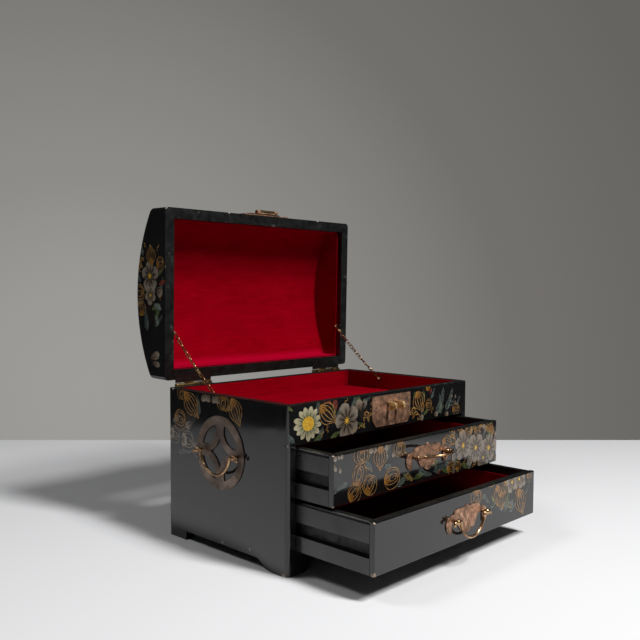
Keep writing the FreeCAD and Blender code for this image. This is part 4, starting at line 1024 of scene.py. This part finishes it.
FASCIA_FLOWERS = [
    ("fern", -140, 128, 20, 140, 0.6), ("moss", -143, 160, 12, 150), ("fern", -102, 140, 20, 250, 0.8),
    ("moss", -84, 150, 14, 110), ("moss", -78, 132, 14, 200, 1.2), ("ink", -60, 160, 12, 60),
    ("moss", -56, 158, 12, 40), ("fern", -60, 152, 16, 70, 0.8), ("moss", -50, 138, 14, 330),
    ("fern", -44, 158, 14, 20, 0.8), ("moss", 44, 150, 12, 80), ("moss", 64, 150, 12, 100),
    ("moss", 62, 132, 14, 40), ("fern", 76, 150, 14, 60, 0.7), ("fern", 96, 129, 24, 96, 0.6),
    ("moss", 92, 134, 12, 30), ("fern", 120, 130, 22, 50, 0.6), ("rust", 74, 156, 8, 60, 1.3),
    ("fern", -112, 152, 15, 80), ("moss", -108, 148, 12, 20), ("moss", -104, 132, 12, 200),
    ("fern", -85, 142, 18, 60), ("rust", -93, 168, 14, 262, 1.6), ("rust", -86, 168, 14, 280, 1.6),
    ("rust", -98, 167, 11, 250, 1.4), ("veil", -40, 140, 18, 100, 1.2), ("blush", -56, 150, 13, 62, 0.42),
    ("blush", -51, 149, 14, 76, 0.42), ("mauve", -46, 148, 13, 92, 0.5), ("mauve", -42, 150, 10, 60, 0.5),
    ("blossom", -67.5, 142, 18.5, 36), ("daisy", -123, 145.5, 19.5, 0, 0.9),
    ("bud", -107, 161, 29, 321, 0.95), ("squiggle", -105, 130, 8, 70), ("squiggle", -96, 133, 9, 100),
    ("squiggle", -60, 130, 7, 20), ("loops", -34, 137, 13, 90), ("squiggle", -50, 133, 9, 10),
    ("squiggle", -42, 131, 7, 80), ("squiggle", -72, 160, 8, 40), ("curl", -32, 149, 9, 60),
    ("line", -38, 160, 12, 200), ("fern", 88, 129, 32, 68, 0.8), ("fern", 105, 132, 28, 62, 0.7),
    ("fern", 62, 134, 16, 120, 0.7), ("spray", 110, 138, 19, 34, 0.9), ("loops", 42, 131, 14, 60),
    ("curl", 37, 143, 8, 300), ("bud", 49, 161, 24, 292, 1.15), ("curl", 58, 136, 12, 80),
    ("rose", 66, 145, 12, 355, 0.9), ("amber", 66, 163, 10, 10, 1.6), ("rose", 119, 133, 15, 5, 0.7),
    ("squiggle", 76, 134, 8, 60), ("blush", 53, 131, 9, 0), ("blush", 82, 131, 8, 10),
    ("blush", 103, 130, 8, 350), ("squiggle", 30, 136, 9, 15),
]
UPPER_FLOWERS = [
    ("fern", -118, 96, 20, 200, 0.6), ("fern", -84, 100, 22, 130, 0.6), ("moss", -78, 90, 16, 200),
    ("fern", -48, 78, 26, 30, 0.7), ("moss", -36, 90, 18, 330), ("moss", -20, 82, 20, 10),
    ("fern", -12, 90, 24, 340, 0.7), ("moss", 54, 88, 18, 300), ("moss", 66, 84, 20, 340),
    ("moss", 78, 118, 18, 20, 1.4), ("moss", 98, 120, 18, 340, 1.4), ("fern", 56, 120, 20, 200, 0.8),
    ("blush", -137, 126, 8, 275, 0.7), ("blush", -139, 116, 8, 300, 0.6), ("blush", -131, 113, 7, 285, 0.6),
    ("blush", -127, 126, 7, 260, 0.7), ("blush", -133, 125, 6, 285, 0.6), ("fern", -61, 95, 26, 88, 0.8),
    ("fern", -66, 123, 20, 290, 0.7), ("veil", -45, 112, 20, 200, 0.8), ("blush", -86, 126, 8, 270),
    ("blush", -82, 124, 7, 300), ("mauve", -54, 124, 12, 200, 0.7), ("mauve", -50, 118, 9, 250, 0.7),
    ("rose", -99, 127, 17, 268, 1.1), ("rose", -107, 87, 26, 76, 0.62), ("rose", -118, 79, 19, 34, 0.8),
    ("rose", -93, 79, 21, 62, 0.8), ("bud", -72, 124, 24, 268, 1.05), ("rose", -67, 88, 26, 6, 0.68),
    ("rose", -41, 125, 17, 262, 0.9), ("line", -96, 108, 14, 330), ("loops", -30, 82, 9, 60),
    ("fern", 14, 84, 26, 12, 0.8), ("fern", 34, 88, 22, 350, 0.8), ("moss", 12, 90, 16, 20),
    ("moss", 30, 84, 16, 340), ("rust", 22, 80, 8, 30, 1.3), ("rose", 40, 82, 14, 10, 0.9),
    ("bud", 30, 115, 20, 340), ("loops", 44, 116, 13, 20), ("pale_blossom", 70, 104, 17, 20),
    ("mauve", 84, 108, 14, 100), ("mauve", 108, 108, 15, 70), ("mauve", 60, 96, 12, 200),
    ("blush", 82, 92, 13, 280), ("mauve", 108, 86, 13, 250), ("blush", 134, 100, 12, 60),
    ("mauve", 134, 86, 13, 300), ("veil", 90, 112, 22, 10, 1.4), ("pale_blossom", 95, 98, 16.5, 50),
    ("pale_blossom", 122, 94, 17.5, 10), ("blossom", 111, 84, 12, 30), ("fern", 78, 88, 22, 300, 0.8),
    ("fern", 58, 92, 18, 250, 0.8), ("loops", 62, 118, 9, 60), ("loops", 84, 114, 12, 80),
    ("loops", 104, 114, 12, 110), ("rose", 74, 123, 12, 330, 0.9), ("rose", 92, 118, 12, 10, 0.9),
    ("rose", 116, 116, 15, 20, 0.9), ("moss", 118, 106, 18, 60), ("moss", 126, 106, 20, 84),
    ("amber", 130, 108, 14, 96), ("amber", 122, 112, 12, 60), ("squiggle", 70, 82, 8, 60),
    ("squiggle", 88, 78, 9, 20), ("rose", 58, 78, 11, 80, 0.9), ("squiggle", 100, 79, 8, 100),
]
LOWER_FLOWERS = [
    ("moss", 50, 62, 14, 300), ("fern", 32, 66, 18, 320, 0.7), ("moss", 84, 58, 16, 250),
    ("fern", 96, 46, 20, 200, 0.7), ("rose", 22, 73, 17, 268, 0.95), ("fern", 62, 45, 30, 5, 0.7),
    ("fern", 46, 48, 16, 20, 0.6), ("fern", 84, 36, 22, 30, 0.7), ("line", 44, 71, 12, 5, 1.5),
    ("bud", 61, 70, 22, 272), ("bud", 68, 62, 20, 280), ("rose", 78, 72, 15, 262, 0.9),
    ("pale_blossom", 91, 68, 12, 30), ("pale_blossom", 106, 69, 12, 10), ("blush", 113, 68, 9, 300),
    ("bud", 105, 58, 31, 288, 0.9), ("rose", 122, 71, 12, 340, 0.9), ("squiggle", 98, 52, 10, 80),
    ("curl", 84, 50, 11, 300), ("squiggle", 70, 44, 7, 20), ("fern", 118, 48, 18, 60, 0.7),
]
SIDE_FLOWERS = [
    ("veil", -60, 130, 24, 60, 1.2), ("fern", -40, 140, 20, 100, 0.7), ("rose", -71, 168, 14, 262, 0.9),
    ("bud", -67, 163, 35, 315, 0.8), ("rose", -86, 134, 22, 350, 0.85), ("mauve", -52, 132, 14, 210, 0.8),
    ("chalk_rose", -94, 116, 19, 352, 0.8), ("chalk_rose", -73, 111, 24, 356, 0.8),
    ("chalk_rose", -52, 104, 16, 0, 0.8), ("fern", -90, 128, 16, 30, 0.7), ("fern", -80, 96, 22, 10, 0.6),
    ("blush", -34, 165, 9, 280), ("blush", -28, 166, 9, 262), ("blush", -22, 165, 9, 245),
    ("blush", -17, 165, 9, 290), ("blush", -11, 166, 9, 268), ("blush", -6, 165, 9, 245),
    ("rose", 1, 167, 17, 268), ("bud", 14, 165, 30, 295, 0.85), ("squiggle", -45, 148, 9, 70),
    ("loops", 8, 158, 9, 300),
]
LID_END_FLOWERS = [
    ("veil", -134, 290, 34, 100, 1.2), ("veil", -130, 262, 30, 280, 1.2), ("moss", -140, 276, 18, 210),
    ("moss", -116, 290, 14, 40), ("fern", -114, 268, 20, 70, 0.7), ("fern", -150, 282, 22, 130, 0.6),
    ("mauve", -120, 276, 14, 330), ("blush", -146, 262, 12, 200), ("fern", -138, 226, 28, 100, 0.7),
    ("fern", -124, 232, 20, 40, 0.7), ("fern", -145, 312, 22, 110, 0.6), ("moss", -128, 252, 18, 20, 1.3),
    ("moss", -122, 240, 17, 60, 1.3), ("sage", -124, 258, 16, 340, 1.5), ("sage", -120, 246, 12, 290, 1.5),
    ("blossom", -132, 290, 17, 20), ("pale_blossom", -131, 268, 11, 50), ("rose", -166, 270, 23, 0, 0.8),
    ("bud", -128, 302, 23, 96, 0.95), ("rose", -118, 302, 15, 14, 0.9), ("rose", -148, 244, 17, 100, 0.8),
    ("rust", -114, 280, 14, 20, 1.4), ("blush", -132, 196, 19, 18, 0.6), ("mauve", -130, 192, 17, 350, 0.5),
    ("squiggle", -118, 318, 9, 60), ("squiggle", -140, 322, 8, 120), ("loops", -146, 300, 12, 150),
    ("squiggle", -112, 262, 9, 80),
]
LID_FRONT_FLOWERS = [
    ("fern", -120, 10, 26, 14, 0.8), ("daisy", -88, 14, 12, 10), ("bud", -72, 18, 24, 340, 0.9),
    ("fern", -60, 10, 22, 350, 0.7), ("blossom", -112, 13, 12, 40), ("squiggle", -130, 8, 9, 30),
    ("loops", -98, 8, 9, 60), ("rust", -100, 20, 10, 20, 1.4), ("fern", 128, 10, 26, 166, 0.8),
    ("blossom", 92, 14, 12, 10), ("bud", 78, 10, 24, 200, 0.9), ("rose", 112, 14, 13, 180, 0.9),
    ("squiggle", 62, 14, 9, 150), ("loops", 100, 22, 9, 300), ("fern", 60, 18, 20, 190, 0.7),
]
LID_TOP_FLOWERS = [
    ("fern", -60, 40, 46, 160, 0.9), ("fern", -70, 70, 44, 190, 0.9), ("fern", 56, 48, 46, 30, 0.9),
    ("fern", 62, 78, 44, 352, 0.9), ("fern", -8, 100, 38, 96, 0.9), ("moss", -30, 40, 30, 220, 1.2),
    ("moss", 34, 36, 30, 318, 1.2), ("moss", -52, 86, 28, 140, 1.2), ("rust", 20, 92, 18, 60, 1.5),
    ("rust", -26, 94, 18, 110, 1.5), ("blossom", 44, 62, 24, 30), ("pale_blossom", -6, 84, 20, 70),
    ("daisy", -36, 62, 24, 0), ("blossom", 4, 44, 20, 10), ("bud", 66, 56, 36, 20, 0.9),
    ("bud", -62, 54, 36, 200, 0.9), ("bud", 22, 92, 32, 66, 0.9), ("rose", -46, 92, 26, 130, 0.8),
    ("rose", 28, 34, 24, 300, 0.8), ("rose", -24, 36, 24, 240, 0.8), ("loops", 70, 92, 18, 60),
    ("loops", -84, 84, 18, 120), ("squiggle", 96, 66, 16, 20), ("squiggle", -100, 62, 16, 160),
    ("spray", 82, 40, 26, 340), ("spray", -84, 34, 26, 200),
]


# The lid top's painting starts this far below its own zero, at this angle in radians from the drum's crown. The
# paintings on the lid's ends stop this far inside the drum.
TOP_START, TOP_ANGLE, DRUM_MARGIN = -34, -0.571, 0.7


def on_drum(point):
    """Bends a flat painting round the lid's top, with its lower edge toward the front."""
    turn = (point.y - TOP_START) / DRUM_RADIUS + TOP_ANGLE
    reach = DRUM_RADIUS + PAINT_LIFT + point.z
    back, up = DRUM_BACK + reach * math.sin(turn), DRUM_UP + reach * math.cos(turn)
    return (LID_PIN + LID_BACK * back + LID_UP * up + Vector((point.x, 0, 0))) * MM


def inside_drum(point):
    """Where a lid painting reaches past the curve of the top, its edge follows the curve."""
    back, up, out = lid_place(point)
    if out < DRUM_RADIUS - DRUM_MARGIN:
        return point
    inward = LID_BACK * (DRUM_BACK - back) + LID_UP * (DRUM_UP - up)
    return point + inward * ((out - DRUM_RADIUS + DRUM_MARGIN) / out) * MM


def mirrored(flowers, borders):
    """The same painting for the box's other side."""
    low_x, high_x, low_y, high_y = borders
    return ([(shape, -x, y, size, 180 - turn, *wide) for shape, x, y, size, turn, *wide in flowers],
            (-high_x, -low_x, low_y, high_y))


def painting():
    shapes = flower_shapes()

    def put(name, body, flowers, borders, heart=None, across=(1, 0, 0), up=(0, 0, 1), bend=None):
        board = Panel(f"{name}_flowers")
        for shape, *place in flowers:
            board.lay(shapes[shape], *place)
        board.hang(body, borders, heart, across, up, bend)

    put("fascia", "case", FASCIA_FLOWERS, (-149.4, 149.4, 127, 165), (0, FRONT, 0))
    for name, flowers in (("upper", UPPER_FLOWERS), ("lower", LOWER_FLOWERS)):
        face, floor = DRAWERS[name]
        put(name, f"{name}_drawer", flowers, (-138.5, 138.5, floor + 0.7, floor + 47.8), (0, face, 0))
    for name, body, flowers, borders in (("side", "case", SIDE_FLOWERS, (-96.4, 96.4, 1, 164.9)),
                                         ("end", "lid", LID_END_FLOWERS, (-157, -101, 173, 366))):
        put(f"left_{name}", body, flowers, borders, (-HALF_WIDTH, 0, 0), (0, -1, 0))
        put(f"right_{name}", body, *mirrored(flowers, borders), (HALF_WIDTH, 0, 0), (0, 1, 0))
    front_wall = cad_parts["lid_front_wall"].data.vertices
    lid_front = LID_PIN + LID_BACK * min(lid_place(vertex.co)[0] for vertex in front_wall)
    put("lid_front", "lid", LID_FRONT_FLOWERS, (-149, 149, 1.2, 26.6), lid_front, up=LID_UP)
    put("lid_top", "lid", LID_TOP_FLOWERS, (-149, 149, -30, 166), bend=on_drum)
    for shape in shapes.values():
        bpy.data.objects.remove(shape)


def main():
    set_camera()
    set_world()
    set_lamps()
    set_table()
    plain = raw_wood("stained_wood")
    finishes = [lacquer("gloss_lacquer"), worn_lacquer("worn_edge", 0.035, 0.05),
                worn_lacquer("rubbed_rim", 0.032, 0.0), plain]
    case_wood(finishes, plain)
    lid_wood(finishes)
    drawer_wood(finishes, plain, lacquer("satin_lacquer", 0.16))
    linings(velvet("red_velvet"))
    brasses = {name: brass(name, *look) for name, look in BRASSES.items()}
    domed_nails(brasses["nail_brass"])
    padlock_staples(brasses["rubbed_brass"])
    stay_chains(brasses["chain_brass"])
    metal(brasses, hinge_finish("lacquered_hinge"))
    painting()


main()
